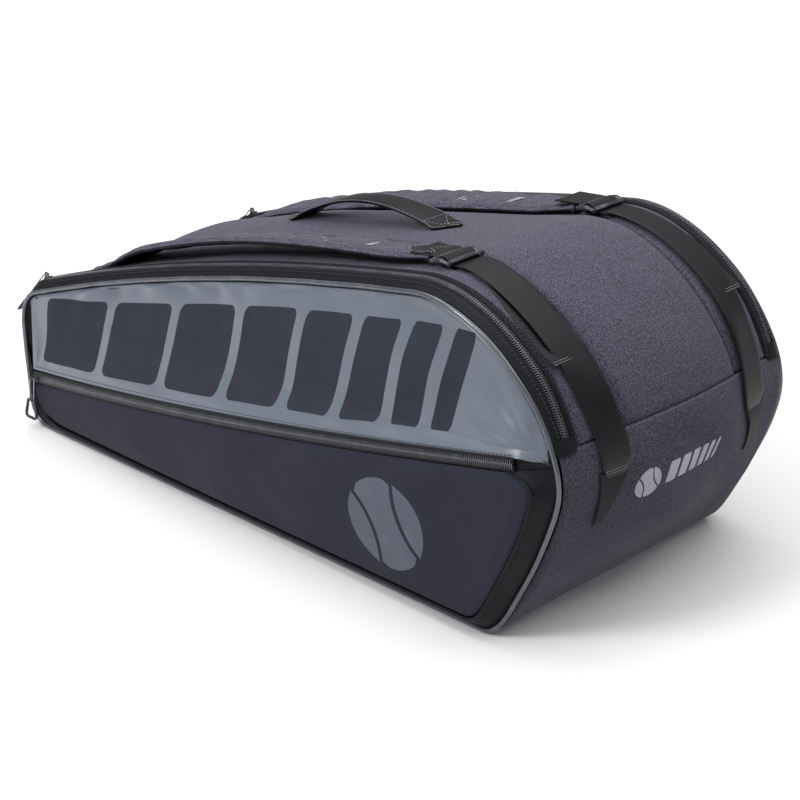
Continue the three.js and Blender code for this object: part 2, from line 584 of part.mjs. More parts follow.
const END_HALF = HALF_DEPTH - 3.2;
const narrowSpread = outlineSpread(0.0004, NARROW_SEAM_T - 0.0006);
add('narrow_end_panel', sheet(9, 6, FABRIC,
  (u, v) => onGusset(narrowSpread(u), mix(-END_HALF, END_HALF, v))), shellFabric);
const wideSpread = outlineSpread(WIDE_SEAM_T + 0.0006, FLOOR_END_T - 0.0004);
add('wide_end_panel', sheet(12, 8, FABRIC,
  (u, v) => onGusset(wideSpread(u), mix(-END_HALF, END_HALF, v))), shellFabric);

const floorLength = FLOOR_WIDE_X - FLOOR_NARROW_X - 3;
const floorMiddle = (FLOOR_WIDE_X + FLOOR_NARROW_X) / 2;
add('bottom_panel', new THREE.BoxGeometry(floorLength, 2 * END_HALF, FABRIC)
  .translate(floorMiddle, 0, FABRIC / 2), blackNylon);
add('base_board', new THREE.BoxGeometry(floorLength - 40, 272, 2)
  .translate(floorMiddle, 0, FABRIC + 0.5 + 1), hardPlastic);

const dividerPoints = Array.from({ length: 44 }, (_, i) => outlineAt(i / 44, 12))
  .map((p) => new THREE.Vector2(p.x, Math.max(p.y, 7)));
add('compartment_divider', new THREE.ExtrudeGeometry(new THREE.Shape(dividerPoints),
  { depth: 3, bevelEnabled: false }).rotateX(Math.PI / 2).translate(0, 1.5, 0), liningFabric);

// carry handle: a stiff webbing arch between two sewn feet
const handleLift = (x) => HANDLE_ARCH
  * Math.sin(Math.PI * THREE.MathUtils.clamp((x - HANDLE_NARROW_X) / (HANDLE_WIDE_X - HANDLE_NARROW_X), 0, 1))
  ** 0.8;
const HANDLE_THICKNESS = 2.6;
const HANDLE_FREE = 20;          // length of each foot before the arch is free to lean
const HANDLE_GAP = 1.3;          // room for the arch's tilted ends when it leans
const handleStrap = (fromX, toX, uSteps) => sheet(uSteps, 1, HANDLE_THICKNESS, (u, v) => {
  const x = mix(fromX, toX, u);
  const lift = handleLift(x) + HANDLE_THICKNESS + 0.6;
  return new THREE.Vector3(x, mix(-HANDLE_WIDTH / 2, HANDLE_WIDTH / 2, v), topAt(x, 0, 0) + lift);
});
add('carry_handle', handleStrap(HANDLE_NARROW_X + HANDLE_FREE, HANDLE_WIDE_X - HANDLE_FREE, 14), webbingFabric);
add('handle_foot_narrow',
  handleStrap(HANDLE_NARROW_X - 24, HANDLE_NARROW_X + HANDLE_FREE - HANDLE_GAP, 4), webbingFabric);
add('handle_foot_wide',
  handleStrap(HANDLE_WIDE_X - HANDLE_FREE + HANDLE_GAP, HANDLE_WIDE_X + 24, 4), webbingFabric);

export default bag;
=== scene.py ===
"""Racket tournament bag: padded shell, two zipped racket compartments, zipped side pockets, shoulder
straps and a carry handle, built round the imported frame. Shapes are worked out in millimetres and
written in metres."""
import logging
import math
from dataclasses import dataclass, field
from enum import Enum
from typing import Callable, Optional, Sequence

import bmesh
import bpy
import numpy as np
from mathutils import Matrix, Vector


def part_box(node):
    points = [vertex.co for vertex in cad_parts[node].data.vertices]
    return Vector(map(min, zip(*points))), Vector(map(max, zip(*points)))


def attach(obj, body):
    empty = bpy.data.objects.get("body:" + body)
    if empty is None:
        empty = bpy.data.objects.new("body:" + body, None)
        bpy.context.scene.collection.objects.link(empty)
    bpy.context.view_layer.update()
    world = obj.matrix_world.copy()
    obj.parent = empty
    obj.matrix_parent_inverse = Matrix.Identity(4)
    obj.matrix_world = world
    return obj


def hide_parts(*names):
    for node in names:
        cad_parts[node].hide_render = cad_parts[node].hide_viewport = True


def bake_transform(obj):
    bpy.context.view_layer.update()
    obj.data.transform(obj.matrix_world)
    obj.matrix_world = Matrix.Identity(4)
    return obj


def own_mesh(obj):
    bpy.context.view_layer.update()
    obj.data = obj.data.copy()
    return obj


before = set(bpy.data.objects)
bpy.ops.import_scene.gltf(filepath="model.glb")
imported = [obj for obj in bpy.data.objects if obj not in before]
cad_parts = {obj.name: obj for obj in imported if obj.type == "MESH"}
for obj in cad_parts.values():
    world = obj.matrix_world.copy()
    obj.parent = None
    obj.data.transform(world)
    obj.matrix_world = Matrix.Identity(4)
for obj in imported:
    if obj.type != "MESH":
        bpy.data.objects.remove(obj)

LOG = logging.getLogger("racket_bag")
MM = 0.001
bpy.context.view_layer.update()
BODY = "bag_body"
Array = np.ndarray


# ---------------------------------------------------------------- small helpers
def ramp(x: Array | float, start: float, end: float) -> Array:
    """Smooth step of x from 0 at start to 1 at end."""
    s = np.clip((np.asarray(x, float) - start) / (end - start), 0.0, 1.0)
    return s * s * (3.0 - 2.0 * s)


def mix(a: Array | float, b: Array | float, share: Array | float) -> Array:
    """Straight mix of a and b."""
    return a + (b - a) * share


def unit(v: Array) -> Array:
    """Vectors along the last axis, scaled to length one."""
    return v / np.maximum(np.linalg.norm(v, axis=-1, keepdims=True), 1e-12)


def points(x: Array, y: Array, z: Array) -> Array:
    """Points from three arrays that broadcast together."""
    return np.stack(np.broadcast_arrays(x, y, z), axis=-1).astype(float)


def rows(count: int, edge: float = 0.012, near: int = 3) -> Array:
    """Shares from 0 to 1 with extra rows close to both edges, where a sewn edge rolls over.

    Args:
        count: how many even rows there are in the middle.
        edge: how far from each edge the extra rows reach.
        near: how many extra rows there are at each edge.

    Returns:
        The shares in rising order.
    """
    close = edge * (np.arange(near) / near) ** 1.5
    return np.concatenate([close, np.linspace(edge, 1 - edge, count), 1 - close[::-1]])


def ripple(a: Array, b: Array, length: float, seed: int, waves: int = 7) -> Array:
    """Smooth random swell over two coordinates.

    Args:
        a: first coordinate, in mm.
        b: second coordinate, in mm.
        length: typical distance between crests, in mm.
        seed: which swell it is.
        waves: how many plain waves add up.

    Returns:
        Heights between about -1 and 1.
    """
    rng = np.random.default_rng(seed)
    total = np.zeros(np.broadcast(a, b).shape)
    for _ in range(waves):
        turn, phase = rng.uniform(0, math.pi), rng.uniform(0, 2 * math.pi)
        pace = 2 * math.pi / (length * rng.uniform(0.7, 1.5))
        total = total + np.sin(pace * (a * math.cos(turn) + b * math.sin(turn)) + phase)
    return total / math.sqrt(waves)


def travel(path: Array) -> Array:
    """Distance of each path point from the first, along the path."""
    return np.concatenate([[0.0], np.cumsum(np.linalg.norm(np.diff(path, axis=0), axis=1))])


def along(path: Array, spacing: float, start: float = 0.0) -> tuple[Array, Array]:
    """Places at even spacing on a path.

    Args:
        path: points in order.
        spacing: distance between places, in mm.
        start: where the first place is, in mm.

    Returns:
        The distance of each path point, and the distances of the places.
    """
    run = travel(path)
    return run, np.arange(start, run[-1] - start * 0.5, spacing)


def at_run(run: Array, values: Array, places: Array) -> Array:
    """Values of a path's points, read at distances along it."""
    return np.stack([np.interp(places, run, values[:, i]) for i in range(values.shape[1])], axis=1)


def evenly(path: Array, count: int) -> Array:
    """A path read at places evenly spaced along it."""
    run = travel(path)
    return at_run(run, path, np.linspace(0, run[-1], count))


def softened(path: Array, times: int) -> Array:
    """A path with its corners worn round; its ends stay in place."""
    for _ in range(times):
        path[1:-1] = (path[:-2] + 2 * path[1:-1] + path[2:]) / 4
    return path


def quads_of(k: Array) -> Array:
    """Faces of a grid of point numbers."""
    return np.stack([k[:-1, :-1], k[1:, :-1], k[1:, 1:], k[:-1, 1:]], axis=-1).reshape(-1, 4)


# ---------------------------------------------------------------- the bag's form
@dataclass
class BagForm:
    """The surfaces that the sewn panels lie on: the side outline, the gusset that rises over it, the
    fold line of the side flaps and the long arc of the pocket zips."""

    half_depth: float = 160.0
    floor_narrow: float = -338.0
    floor_wide: float = 288.0
    narrow_corner: tuple[float, float] = (-350.0, 157.0)
    top_end: tuple[float, float] = (200.0, 304.0)
    top_radius: float = 2910.0
    wide: float = 375.0
    narrow: float = -375.0
    crease: float = 82.0
    zip_line: float = 146.4
    tape: float = 6.4
    inset: float = 7.0
    fold_narrow: float = 150.0
    fold_wide: float = 206.0
    pocket_narrow: tuple[float, float, float] = (-362.0, 162.0, 56.0)
    pocket_wide: tuple[float, float, float] = (340.0, 176.0, 187.0)
    pocket_radius: float = 2970.0
    steps: int = 1600
    line: Array = field(init=False)

    def __post_init__(self) -> None:
        """Works out the outline, the zip arcs and the places of the seams."""
        corner, end = np.array(self.narrow_corner), np.array(self.top_end)
        chord = end - corner
        down = unit(np.array([chord[1], -chord[0]]))
        centre = (corner + end) / 2 + down * math.sqrt(self.top_radius**2 - chord @ chord / 4)
        from_angle, to_angle = (math.atan2(*(p - centre)[::-1]) for p in (corner, end))
        angles = np.linspace(from_angle, to_angle, 400)
        arc = centre + self.top_radius * np.stack([np.cos(angles), np.sin(angles)], axis=1)
        n, w, f0, f1 = self.narrow, self.wide, self.floor_narrow, self.floor_wide
        raw = np.concatenate([
            self._curve((f0, 0), (f0 - 20, 0), (-369, 12), (-370, 32)),
            np.array([[n, 108.0]]),
            self._curve((n, 108), (n - 2, 130), (-366, 150.5), corner),
            arc,
            self._curve(end, (288, 317), (w, 227), (w, 165)),
            self._curve((w, 165), (w, 138), (352, 86), (330, 44)),
            self._curve((330, 44), (316, 16), (306, 0), (f1, 0)),
            np.array([[f0, 0.0]]),
        ])
        self.line = evenly(raw, self.steps + 1)
        self.floor_end = self.near(f1, 0)
        self.narrow_seam = self.near(n + 5, 141, 0, 0.5)
        self.wide_seam = self.near(372, 201, 0.3, self.floor_end)
        self.fold_t0 = self.near(n + 3, self.fold_narrow, 0, 0.5)
        self.fold_t1 = self.near(w - 3, self.fold_wide, 0.3, self.floor_end)
        a, b = np.array(self.pocket_narrow), np.array(self.pocket_wide)
        self.zip_way = b - a
        self.zip_up = unit(np.array([-self.zip_way[2], 0, self.zip_way[0]]))
        self.zip_in = unit(np.cross(self.zip_up, self.zip_way))
        if self.zip_in[1] > 0:
            self.zip_in = -self.zip_in
        half = np.linalg.norm(self.zip_way) / 2
        self.zip_centre = (a + b) / 2 + self.zip_in * math.sqrt(self.pocket_radius**2 - half**2)
        self.zip_angle = 2 * math.asin(half / self.pocket_radius)
        self.fold_a = self.outline(self.fold_t0, self.inset)
        self.fold_b = self.outline(self.fold_t1, self.inset)
        self.welt_start = self.near(364, 186, self.fold_t1, self.floor_end)

    @staticmethod
    def _curve(a: Sequence[float], b: Sequence[float], c: Sequence[float], d: Sequence[float],
               count: int = 160) -> Array:
        """Points of a cubic curve with its two handles."""
        s = np.linspace(0, 1, count)[:, None]
        a, b, c, d = (np.array(p, float) for p in (a, b, c, d))
        return a * (1 - s)**3 + 3 * b * s * (1 - s)**2 + 3 * c * s**2 * (1 - s) + d * s**3

    def outline(self, t: Array | float, inset: Array | float = 0.0) -> Array:
        """Points (x, z) of the side outline at shares t of its length, moved inwards by inset."""
        k = np.arange(self.steps + 1) / self.steps
        read = lambda s: np.stack([np.interp(s, k, self.line[:, i]) for i in (0, 1)], axis=-1)
        t = np.clip(t, 0, 1)
        way = unit(read(np.clip(t + 2.5 / self.steps, 0, 1)) - read(np.clip(t - 2.5 / self.steps, 0, 1)))
        side = np.stack([way[..., 1], -way[..., 0]], axis=-1)
        return read(t) + side * np.asarray(inset, float)[..., None]

    def near(self, x: float, z: float, start: float = 0.0, end: float = 1.0) -> float:
        """Share of the outline that passes closest to a place, between two shares."""
        i0, i1 = round(start * self.steps), round(end * self.steps)
        gap = np.hypot(self.line[i0:i1 + 1, 0] - x, self.line[i0:i1 + 1, 1] - z)
        return (i0 + int(np.argmin(gap))) / self.steps

    def over(self, x: Array | float) -> Array:
        """Share of the outline's top that lies over x."""
        top = self.line[:, 1] > 150
        low, high = np.flatnonzero(top)[0], np.argmax(self.line[:, 0])
        xs = self.line[low:high, 0]
        return np.interp(x, xs, np.arange(low, high) / self.steps)

    def rise(self, t: Array, y: Array) -> Array:
        """How far the gusset stands outside the outline at t and y."""
        p, a = self.outline(t), np.abs(y)
        x, z = p[..., 0], p[..., 1]
        on_top = (t > self.narrow_seam) & (t < self.wide_seam)
        wide = ramp(x, 110, 250)
        low = np.where(x > 0, ramp(z, 8, 110), ramp(z, 8, 60) * np.where(on_top, 1, 0.6))
        start = ramp(x, -352, -225)
        crease = mix(mix(2, 5, start), 11, wide)
        crown = mix(mix(0, mix(15, 6, ramp(x, -100, 80)), start), mix(4, 8, ramp(x, 280, 370)), wide)
        chain = mix(mix(1, 7, ramp(x, -368, -344)), 2, ramp(x, 330, 372))
        inner = crease + crown * (1 - (a / self.crease)**2)
        middle = mix(crease, chain, (a - self.crease) / (self.zip_line - self.crease))
        outer = mix(chain, 0.5, ramp(a, self.zip_line + 3, self.half_depth - 3))
        return low * np.where(a <= self.crease, inner, np.where(a <= self.zip_line, middle, outer))

    def gusset(self, t: Array, y: Array, lift: Array | float = 0.0) -> Array:
        """Points on the gusset at t and y, lifted off its outer face."""
        t, y, lift = np.broadcast_arrays(t, y, lift)
        p = self.outline(t, -(self.rise(t, y) + lift))
        return points(p[..., 0], y, p[..., 1])

    def top_height(self, x: float, y: float, lift: float = 0.0) -> float:
        """Height of the gusset over the floor at a place on the top."""
        t = self.over(x) + np.linspace(-0.02, 0.02, 81)
        p = self.gusset(np.clip(t, self.narrow_seam, self.wide_seam), np.full(81, y), lift)
        return float(p[np.argmin(np.abs(p[:, 0] - x)), 2])

    def pocket_zip(self, s: Array, up: Array | float = 0.0, out: Array | float = 0.0) -> Array:
        """Points on a pocket zip's arc at shares s, moved up across the tape and outwards."""
        turn = (np.asarray(s, float) - 0.5) * self.zip_angle
        r = self.pocket_radius + np.asarray(out, float)
        return (self.zip_centre - self.zip_in * (r * np.cos(turn))[..., None]
                + unit(self.zip_way) * (r * np.sin(turn))[..., None]
                + self.zip_up * (np.asarray(up, float) + 0 * turn)[..., None])

    def fold_depth(self, x: Array) -> Array:
        """How far from the centre plane the side stands at x on the fold line."""
        s = np.clip((x - self.pocket_narrow[0]) / self.zip_way[0], 0, 1)
        chain = self.pocket_zip(s)
        top = self.outline(self.over(x))[..., 1]
        z = mix(self.fold_narrow, self.fold_wide, (x - self.narrow) / (self.wide - self.narrow))
        share = np.clip((top - z) / np.maximum(top - chain[..., 2], 1), 0, 1)
        return mix(self.half_depth, chain[..., 1], 0.85 * share)

    def fold(self, s: Array, up: float = 0.0) -> Array:
        """Points on the fold line of a side flap, from the narrow end to the wide end."""
        x, z = mix(self.fold_a[0], self.fold_b[0], s), mix(self.fold_a[1], self.fold_b[1], s)
        ends = ramp(s, 0, 0.12) * ramp(1 - s, 0, 0.1)
        return points(x, mix(self.half_depth, self.fold_depth(x), ends), z + up)

    def edge(self, t: Array, y: Array | float, inset: Array | float) -> Array:
        """Points beside the outline at depth y."""
        p = self.outline(t, inset)
        return points(p[..., 0], y, p[..., 1])

    def spread(self, start: float, end: float, bend: float = 900.0) -> Callable[[Array], Array]:
        """A way to spread shares over part of the outline, closer together where it turns."""
        t = np.linspace(start, end, 401)
        way = np.diff(self.outline(t), axis=0)
        angle = np.unwrap(np.arctan2(way[:, 1], way[:, 0]))
        turn = np.concatenate([[0], np.abs(np.diff(angle))])
        effort = np.concatenate([[0], np.cumsum(np.linalg.norm(way, axis=1) + turn * bend / math.pi)])
        return lambda u: np.interp(u, effort / effort[-1], t)

    def welt(self, s: Array, inset: Array | float = 0.0) -> Array:
        """Points on the edge of the pocket's front, from the wide end of its zip round the heel."""
        t = self.spread(self.welt_start, 1.0)(s)
        p = self.outline(t)
        share = np.clip((p[..., 0] - self.floor_narrow) / (self.floor_wide - self.floor_narrow), 0, 1)
        return self.edge(t, mix(165, 178, share), mix(9, 17, share) + inset)


FORM = BagForm()


def coons(bottom: Array, top: Array, left: Array, right: Array, u: Array, v: Array) -> Array:
    """A sheet between four edges.

    Args:
        bottom: points along u at v 0.
        top: points along u at v 1.
        left: points along v at u 0.
        right: points along v at u 1.
        u: the shares along the sheet.
        v: the shares across it.

    Returns:
        Points in a grid of u by v.
    """
    uu, vv = u[:, None, None], v[None, :, None]
    corner = (bottom[0] * (1 - uu) * (1 - vv) + bottom[-1] * uu * (1 - vv)
              + top[0] * (1 - uu) * vv + top[-1] * uu * vv)
    return (bottom[:, None] * (1 - vv) + top[:, None] * vv
            + left[None] * (1 - uu) + right[None] * uu - corner)


# ---------------------------------------------------------------- finishes
def linear(colour: str) -> tuple[float, float, float, float]:
    """An sRGB hex colour as linear values.

    Args:
        colour: six hex digits after a hash sign.

    Returns:
        Red, green, blue and one.
    """
    value = [int(colour[i:i + 2], 16) / 255 for i in (1, 3, 5)]
    r, g, b = [c / 12.92 if c <= 0.04045 else ((c + 0.055) / 1.055)**2.4 for c in value]
    return r, g, b, 1.0


def add_node(tree: bpy.types.NodeTree, kind: str, settings: Optional[dict] = None,
             links: Optional[dict] = None) -> bpy.types.Node:
    """Adds a node with its settings and links.

    Args:
        tree: the material's nodes.
        kind: Blender's name for the node.
        settings: its properties in small letters, and its sockets by name or number.
        links: the output that goes to each socket.

    Returns:
        The node.
    """
    node = tree.nodes.new(kind)
    for key, value in (settings or {}).items():
        if isinstance(key, str) and key.islower():
            setattr(node, key, value)
        else:
            node.inputs[key].default_value = value
    for key, source in (links or {}).items():
        tree.links.new(source, node.inputs[key])
    return node


def noise(tree: bpy.types.NodeTree, place: bpy.types.NodeSocket, size: float, detail: float = 2.0,
          **more: float) -> bpy.types.NodeSocket:
    """A noise texture with lumps about size mm wide; more holds its other sockets."""
    return add_node(tree, "ShaderNodeTexNoise", {"Scale": 1000 / size, "Detail": detail, **more},
                    {"Vector": place}).outputs[0]


def between(tree: bpy.types.NodeTree, value: bpy.types.NodeSocket, **limits: float) -> bpy.types.NodeSocket:
    """A value mapped between limits, given as From_Min, From_Max, To_Min and To_Max."""
    settings = {key.replace("_", " "): limit for key, limit in limits.items()}
    return add_node(tree, "ShaderNodeMapRange", settings, {"Value": value}).outputs[0]


def new_material(name: str) -> tuple[bpy.types.Material, bpy.types.NodeTree, bpy.types.Node]:
    """An empty material, its nodes and its shader."""
    material = bpy.data.materials.new(name)
    material.use_nodes = True
    return material, material.node_tree, material.node_tree.nodes["Principled BSDF"]


class Weave(Enum):
    """How a fabric's threads cross."""

    PLAIN = "plain"
    TWILL = "twill"
    SMOOTH = "smooth"


@dataclass(frozen=True)
class Fabric:
    """A woven or coated fabric. The thread spacing is real, in mm, or as coarse as it needs to show."""

    name: str
    colour: str
    shade: str
    thread: float
    weave: Weave = Weave.PLAIN
    roughness: float = 0.85
    relief: float = 0.12
    sheen: float = 0.15
    specular: float = 0.35
    fleck: Optional[str] = None
    fleck_size: float = 1.5
    fleck_share: float = 0.5
    cloud: float = 90.0
    crumple: float = 0.0
    coat: float = 0.0

    def build(self) -> bpy.types.Material:
        """Makes the material: threads in relief, a slow change of shade, and flecks if it has any."""
        material, tree, shader = new_material(self.name)
        place = add_node(tree, "ShaderNodeTexCoord")
        solid, flat = place.outputs["Object"], place.outputs["UV"]
        cloud = noise(tree, solid, self.cloud, 3.0)
        colour = add_node(tree, "ShaderNodeMix", {"data_type": "RGBA", 6: linear(self.colour),
                                                  7: linear(self.shade)}, {0: cloud})
        # a wave texture repeats every 2 pi / 20 units, so this scale gives one thread each spacing
        pace = 1000 * math.pi / 10 / self.thread
        if self.weave is Weave.TWILL:
            threads = add_node(tree, "ShaderNodeTexWave",
                               {"bands_direction": "DIAGONAL", "Scale": pace * 0.7}, {"Vector": flat})
            relief = threads.outputs["Fac"]
        elif self.weave is Weave.PLAIN:
            warp = add_node(tree, "ShaderNodeTexWave", {"bands_direction": "X", "Scale": pace},
                            {"Vector": flat})
            weft = add_node(tree, "ShaderNodeTexWave", {"bands_direction": "Y", "Scale": pace},
                            {"Vector": flat})
            relief = add_node(tree, "ShaderNodeMath", {"operation": "MULTIPLY"},
                              {0: warp.outputs["Fac"], 1: weft.outputs["Fac"]}).outputs[0]
        else:
            relief = noise(tree, solid, self.thread)
        result = colour.outputs[2]
        if self.fleck:
            spots = noise(tree, solid, self.fleck_size, Roughness=0.75)
            level = between(tree, spots, From_Min=0.72 - self.fleck_share * 0.3,
                            From_Max=0.80 - self.fleck_share * 0.1)
            result = add_node(tree, "ShaderNodeMix", {"data_type": "RGBA", 7: linear(self.fleck)},
                              {0: level, 6: result}).outputs[2]
        bump = add_node(tree, "ShaderNodeBump", {"Strength": self.relief, "Distance": 0.0006},
                        {"Height": relief})
        if self.crumple:
            soft = noise(tree, solid, 34, 3.0, Distortion=0.6)
            bump = add_node(tree, "ShaderNodeBump", {"Strength": self.crumple, "Distance": 0.004},
                            {"Height": soft, "Normal": bump.outputs[0]})
        worn = between(tree, cloud, To_Min=self.roughness - 0.06, To_Max=min(self.roughness + 0.06, 1.0))
        for key, value in {"Sheen Weight": self.sheen, "Sheen Roughness": 0.5,
                           "Specular IOR Level": self.specular, "Coat Weight": self.coat,
                           "Coat Roughness": 0.35}.items():
            shader.inputs[key].default_value = value
        tree.links.new(result, shader.inputs["Base Color"])
        tree.links.new(worn, shader.inputs["Roughness"])
        tree.links.new(bump.outputs[0], shader.inputs["Normal"])
        return material


@dataclass(frozen=True)
class Hard:
    """A moulded, plated or printed surface with a fine grain."""

    name: str
    colour: str
    # second colour: rubbed wear, and on the piping and the moulded acetal also painted highlight
    worn: str
    roughness: float
    metallic: float = 0.0
    grain: float = 1.2
    relief: float = 0.05
    specular: float = 0.5

    def build(self) -> bpy.types.Material:
        """Makes the material: a fine grain, and random patches of a lighter second colour, which is rubbed wear and,
        on the piping and the moulded acetal, also painted highlight.
        """
        material, tree, shader = new_material(self.name)
        place = add_node(tree, "ShaderNodeTexCoord").outputs["Object"]
        grain = noise(tree, place, self.grain, 4.0)
        # random patches of the lighter colour: wear, and on the piping and the acetal partly painted highlight
        wear_and_highlight = between(tree, noise(tree, place, 16), From_Min=0.45, From_Max=0.8)
        colour = add_node(tree, "ShaderNodeMix", {"data_type": "RGBA", 6: linear(self.colour),
                                                  7: linear(self.worn)}, {0: wear_and_highlight})
        gloss = between(tree, grain, To_Min=self.roughness * 0.85, To_Max=min(self.roughness * 1.15, 1.0))
        bump = add_node(tree, "ShaderNodeBump", {"Strength": self.relief, "Distance": 0.0004},
                        {"Height": grain})
        shader.inputs["Metallic"].default_value = self.metallic
        shader.inputs["Specular IOR Level"].default_value = self.specular
        tree.links.new(colour.outputs[2], shader.inputs["Base Color"])
        tree.links.new(gloss, shader.inputs["Roughness"])
        tree.links.new(bump.outputs[0], shader.inputs["Normal"])
        return material


FINISHES: dict[str, bpy.types.Material] = {
    finish.name: finish.build() for finish in (
        # melange polyester: dark yarn spun with pale fibres, which gives a salt-and-pepper face;
        # the real flecks are 0.5 mm, drawn at 1.1 mm to show
        Fabric("melange_polyester", "#2f2e3b", "#272632", 1.1, roughness=0.92, relief=0.3,
               fleck="#74738a", fleck_size=1.1, fleck_share=0.95, sheen=0.12, crumple=0.05),
        # polyester with a satin polyurethane coating: smooth, with soft broad highlights
        Fabric("satin_coated_polyester", "#737b89", "#666e7c", 0.9, Weave.SMOOTH, roughness=0.36,
               relief=0.03, sheen=0.0, specular=0.5, coat=0.3, crumple=0.08),
        # 600-denier twill polyester: matt, nearly black, with a faint diagonal
        Fabric("twill_polyester", "#242638", "#1f2132", 1.0, Weave.TWILL, roughness=0.8, relief=0.18,
               sheen=0.05, fleck="#373848", fleck_size=1.2, fleck_share=0.5),
        # calendered nylon: smooth black with a slight sheen
        Fabric("smooth_nylon", "#0c0d16", "#090a11", 0.7, Weave.PLAIN, roughness=0.58, relief=0.08,
               sheen=0.0, specular=0.22, crumple=0.12),
        # polyester webbing: heavy diagonal yarns that shine where the strap bends
        Fabric("polyester_webbing", "#0b0c13", "#08090e", 1.3, Weave.TWILL, roughness=0.44, relief=0.22,
               sheen=0.0, specular=0.3),
        # zip tape: fine matt weave
        Fabric("zip_tape", "#0e0f14", "#0b0b10", 0.9, Weave.PLAIN, roughness=0.8, relief=0.3),
        # lining: thin plain-weave polyester, dull
        Fabric("lining_polyester", "#2b2b31", "#242429", 0.8, Weave.PLAIN, roughness=0.85, relief=0.2,
               crumple=0.2),
        # piping covered in coated fabric: a thin bright highlight runs along it, and its grey is lightened as painted
        # highlight
        Hard("coated_piping", "#454854", "#5c5f6c", 0.2, specular=1.0, relief=0.02),
        # nylon monofilament coil: half gloss
        Hard("nylon_coil", "#474853", "#5c5d68", 0.26, specular=0.9),
        # black-plated zinc and steel wire: dark and bright-edged
        Hard("plated_wire", "#8d8d93", "#b4b4ba", 0.28, metallic=1.0, relief=0.02),
        Hard("black_plated_zinc", "#3a3a40", "#66666d", 0.34, metallic=0.9, relief=0.03),
        # moulded acetal: satin black, with a light grey second colour that is partly rubbed wear and partly painted
        # highlight on the bars
        Hard("moulded_acetal", "#2b2c34", "#6e7079", 0.24, relief=0.04),
        # soft PVC puller: matt
        Hard("moulded_rubber", "#2a2b2e", "#36373b", 0.6, relief=0.08),
        # polyethylene board: dull black sheet
        Hard("polyethylene_board", "#17171a", "#202024", 0.5),
        # flexible ink: matt dark, grey and silver
        Hard("dark_ink", "#2b2e3a", "#303340", 0.75, grain=0.8, relief=0.22, specular=0.3),
        Hard("grey_ink", "#5a6170", "#646b7a", 0.5, grain=0.8, relief=0.1, specular=0.4),
        Hard("silver_ink", "#a9a7b2", "#b7b5bf", 0.45, metallic=0.3, grain=0.8, relief=0.1),
        # bonded polyester thread
        Hard("black_thread", "#2e2e36", "#41414a", 0.6),
        Hard("pale_thread", "#8f8f99", "#a0a0a9", 0.6),
    )
}


# ---------------------------------------------------------------- meshes
def make_piece(name: str, verts: Array, faces: Sequence[Sequence[int]], finishes: Sequence[str],
               uv: Optional[Array] = None, picks: Optional[Array] = None,
               crisp: float = 50.0) -> bpy.types.Object:
    """Makes a mesh object from points in millimetres.

    Args:
        name: the piece's name.
        verts: its points.
        faces: point numbers of each face, seen from outside.
        finishes: names of its finishes.
        uv: a flat place in metres for each point, for the weave.
        picks: which finish each face has, where there are several.
        crisp: edges that turn more than this many degrees stay sharp.

    Returns:
        The object, in the scene.
    """
    mesh = bpy.data.meshes.new(name)
    mesh.from_pydata((np.asarray(verts) * MM).tolist(), [], [list(map(int, f)) for f in faces])
    for finish in finishes:
        mesh.materials.append(FINISHES[finish])
    if picks is not None:
        mesh.polygons.foreach_set("material_index", np.asarray(picks, np.int32))
    if uv is not None:
        loops = np.zeros(len(mesh.loops), np.int32)
        mesh.loops.foreach_get("vertex_index", loops)
        mesh.uv_layers.new(name="UVMap").data.foreach_set("uv", np.asarray(uv, np.float32)[loops].ravel())
    mesh.polygons.foreach_set("use_smooth", np.ones(len(mesh.polygons), bool))
    mesh.set_sharp_from_angle(angle=math.radians(crisp))
    mesh.validate()
    piece = bpy.data.objects.new(name, mesh)
    bpy.context.scene.collection.objects.link(piece)
    return piece


def dress(piece: bpy.types.Object, body: Optional[str] = None,
          stands_for: Sequence[str] = ()) -> bpy.types.Object:
    """Says what a piece rides on and what it stands for.

    Args:
        piece: the piece.
        body: the body it rides on, unless it bends between two.
        stands_for: the frame's solids that it replaces.

    Returns:
        The piece.
    """
    if stands_for:
        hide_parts(*stands_for)
    if body:
        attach(piece, body)
    return piece


def run_of(grid: Array, axis: int) -> Array:
    """Distance of each grid point along its own grid line from that line's start."""
    step = np.linalg.norm(np.diff(grid, axis=axis), axis=2)
    start = np.zeros_like(np.take(step, [0], axis=axis))
    return np.concatenate([start, np.cumsum(step, axis=axis)], axis=axis)


def normals_of(grid: Array) -> Array:
    """Unit normals of a grid of points, turned away from the middle of the bag."""
    n = unit(np.cross(np.gradient(grid, axis=0), np.gradient(grid, axis=1)))
    outward = grid - np.array([0.0, 0.0, 150.0])
    return n if (n * outward).sum() > 0 else -n


def edge_gap(grid: Array, ends: bool = True, sides: bool = True) -> Array:
    """Distance of each grid point from the nearest edge of the sheet.

    Args:
        grid: points in a grid.
        ends: whether the first and last rows are edges.
        sides: whether the first and last columns are edges.

    Returns:
        The distances, in mm.
    """
    gap = np.full(grid.shape[:2], 1e6)
    for axis, used in ((0, ends), (1, sides)):
        if used:
            run = run_of(grid, axis)
            total = np.take(run, [-1], axis=axis)
            gap = np.minimum(gap, np.minimum(run, total - run))
    return gap


def roll(gap: Array, width: float) -> Array:
    """A rounded edge: 1 at the edge, falling as a quarter circle to 0 at width."""
    return 1 - np.sqrt(np.maximum(0.0, 1 - (1 - np.clip(gap / width, 0, 1))**2))


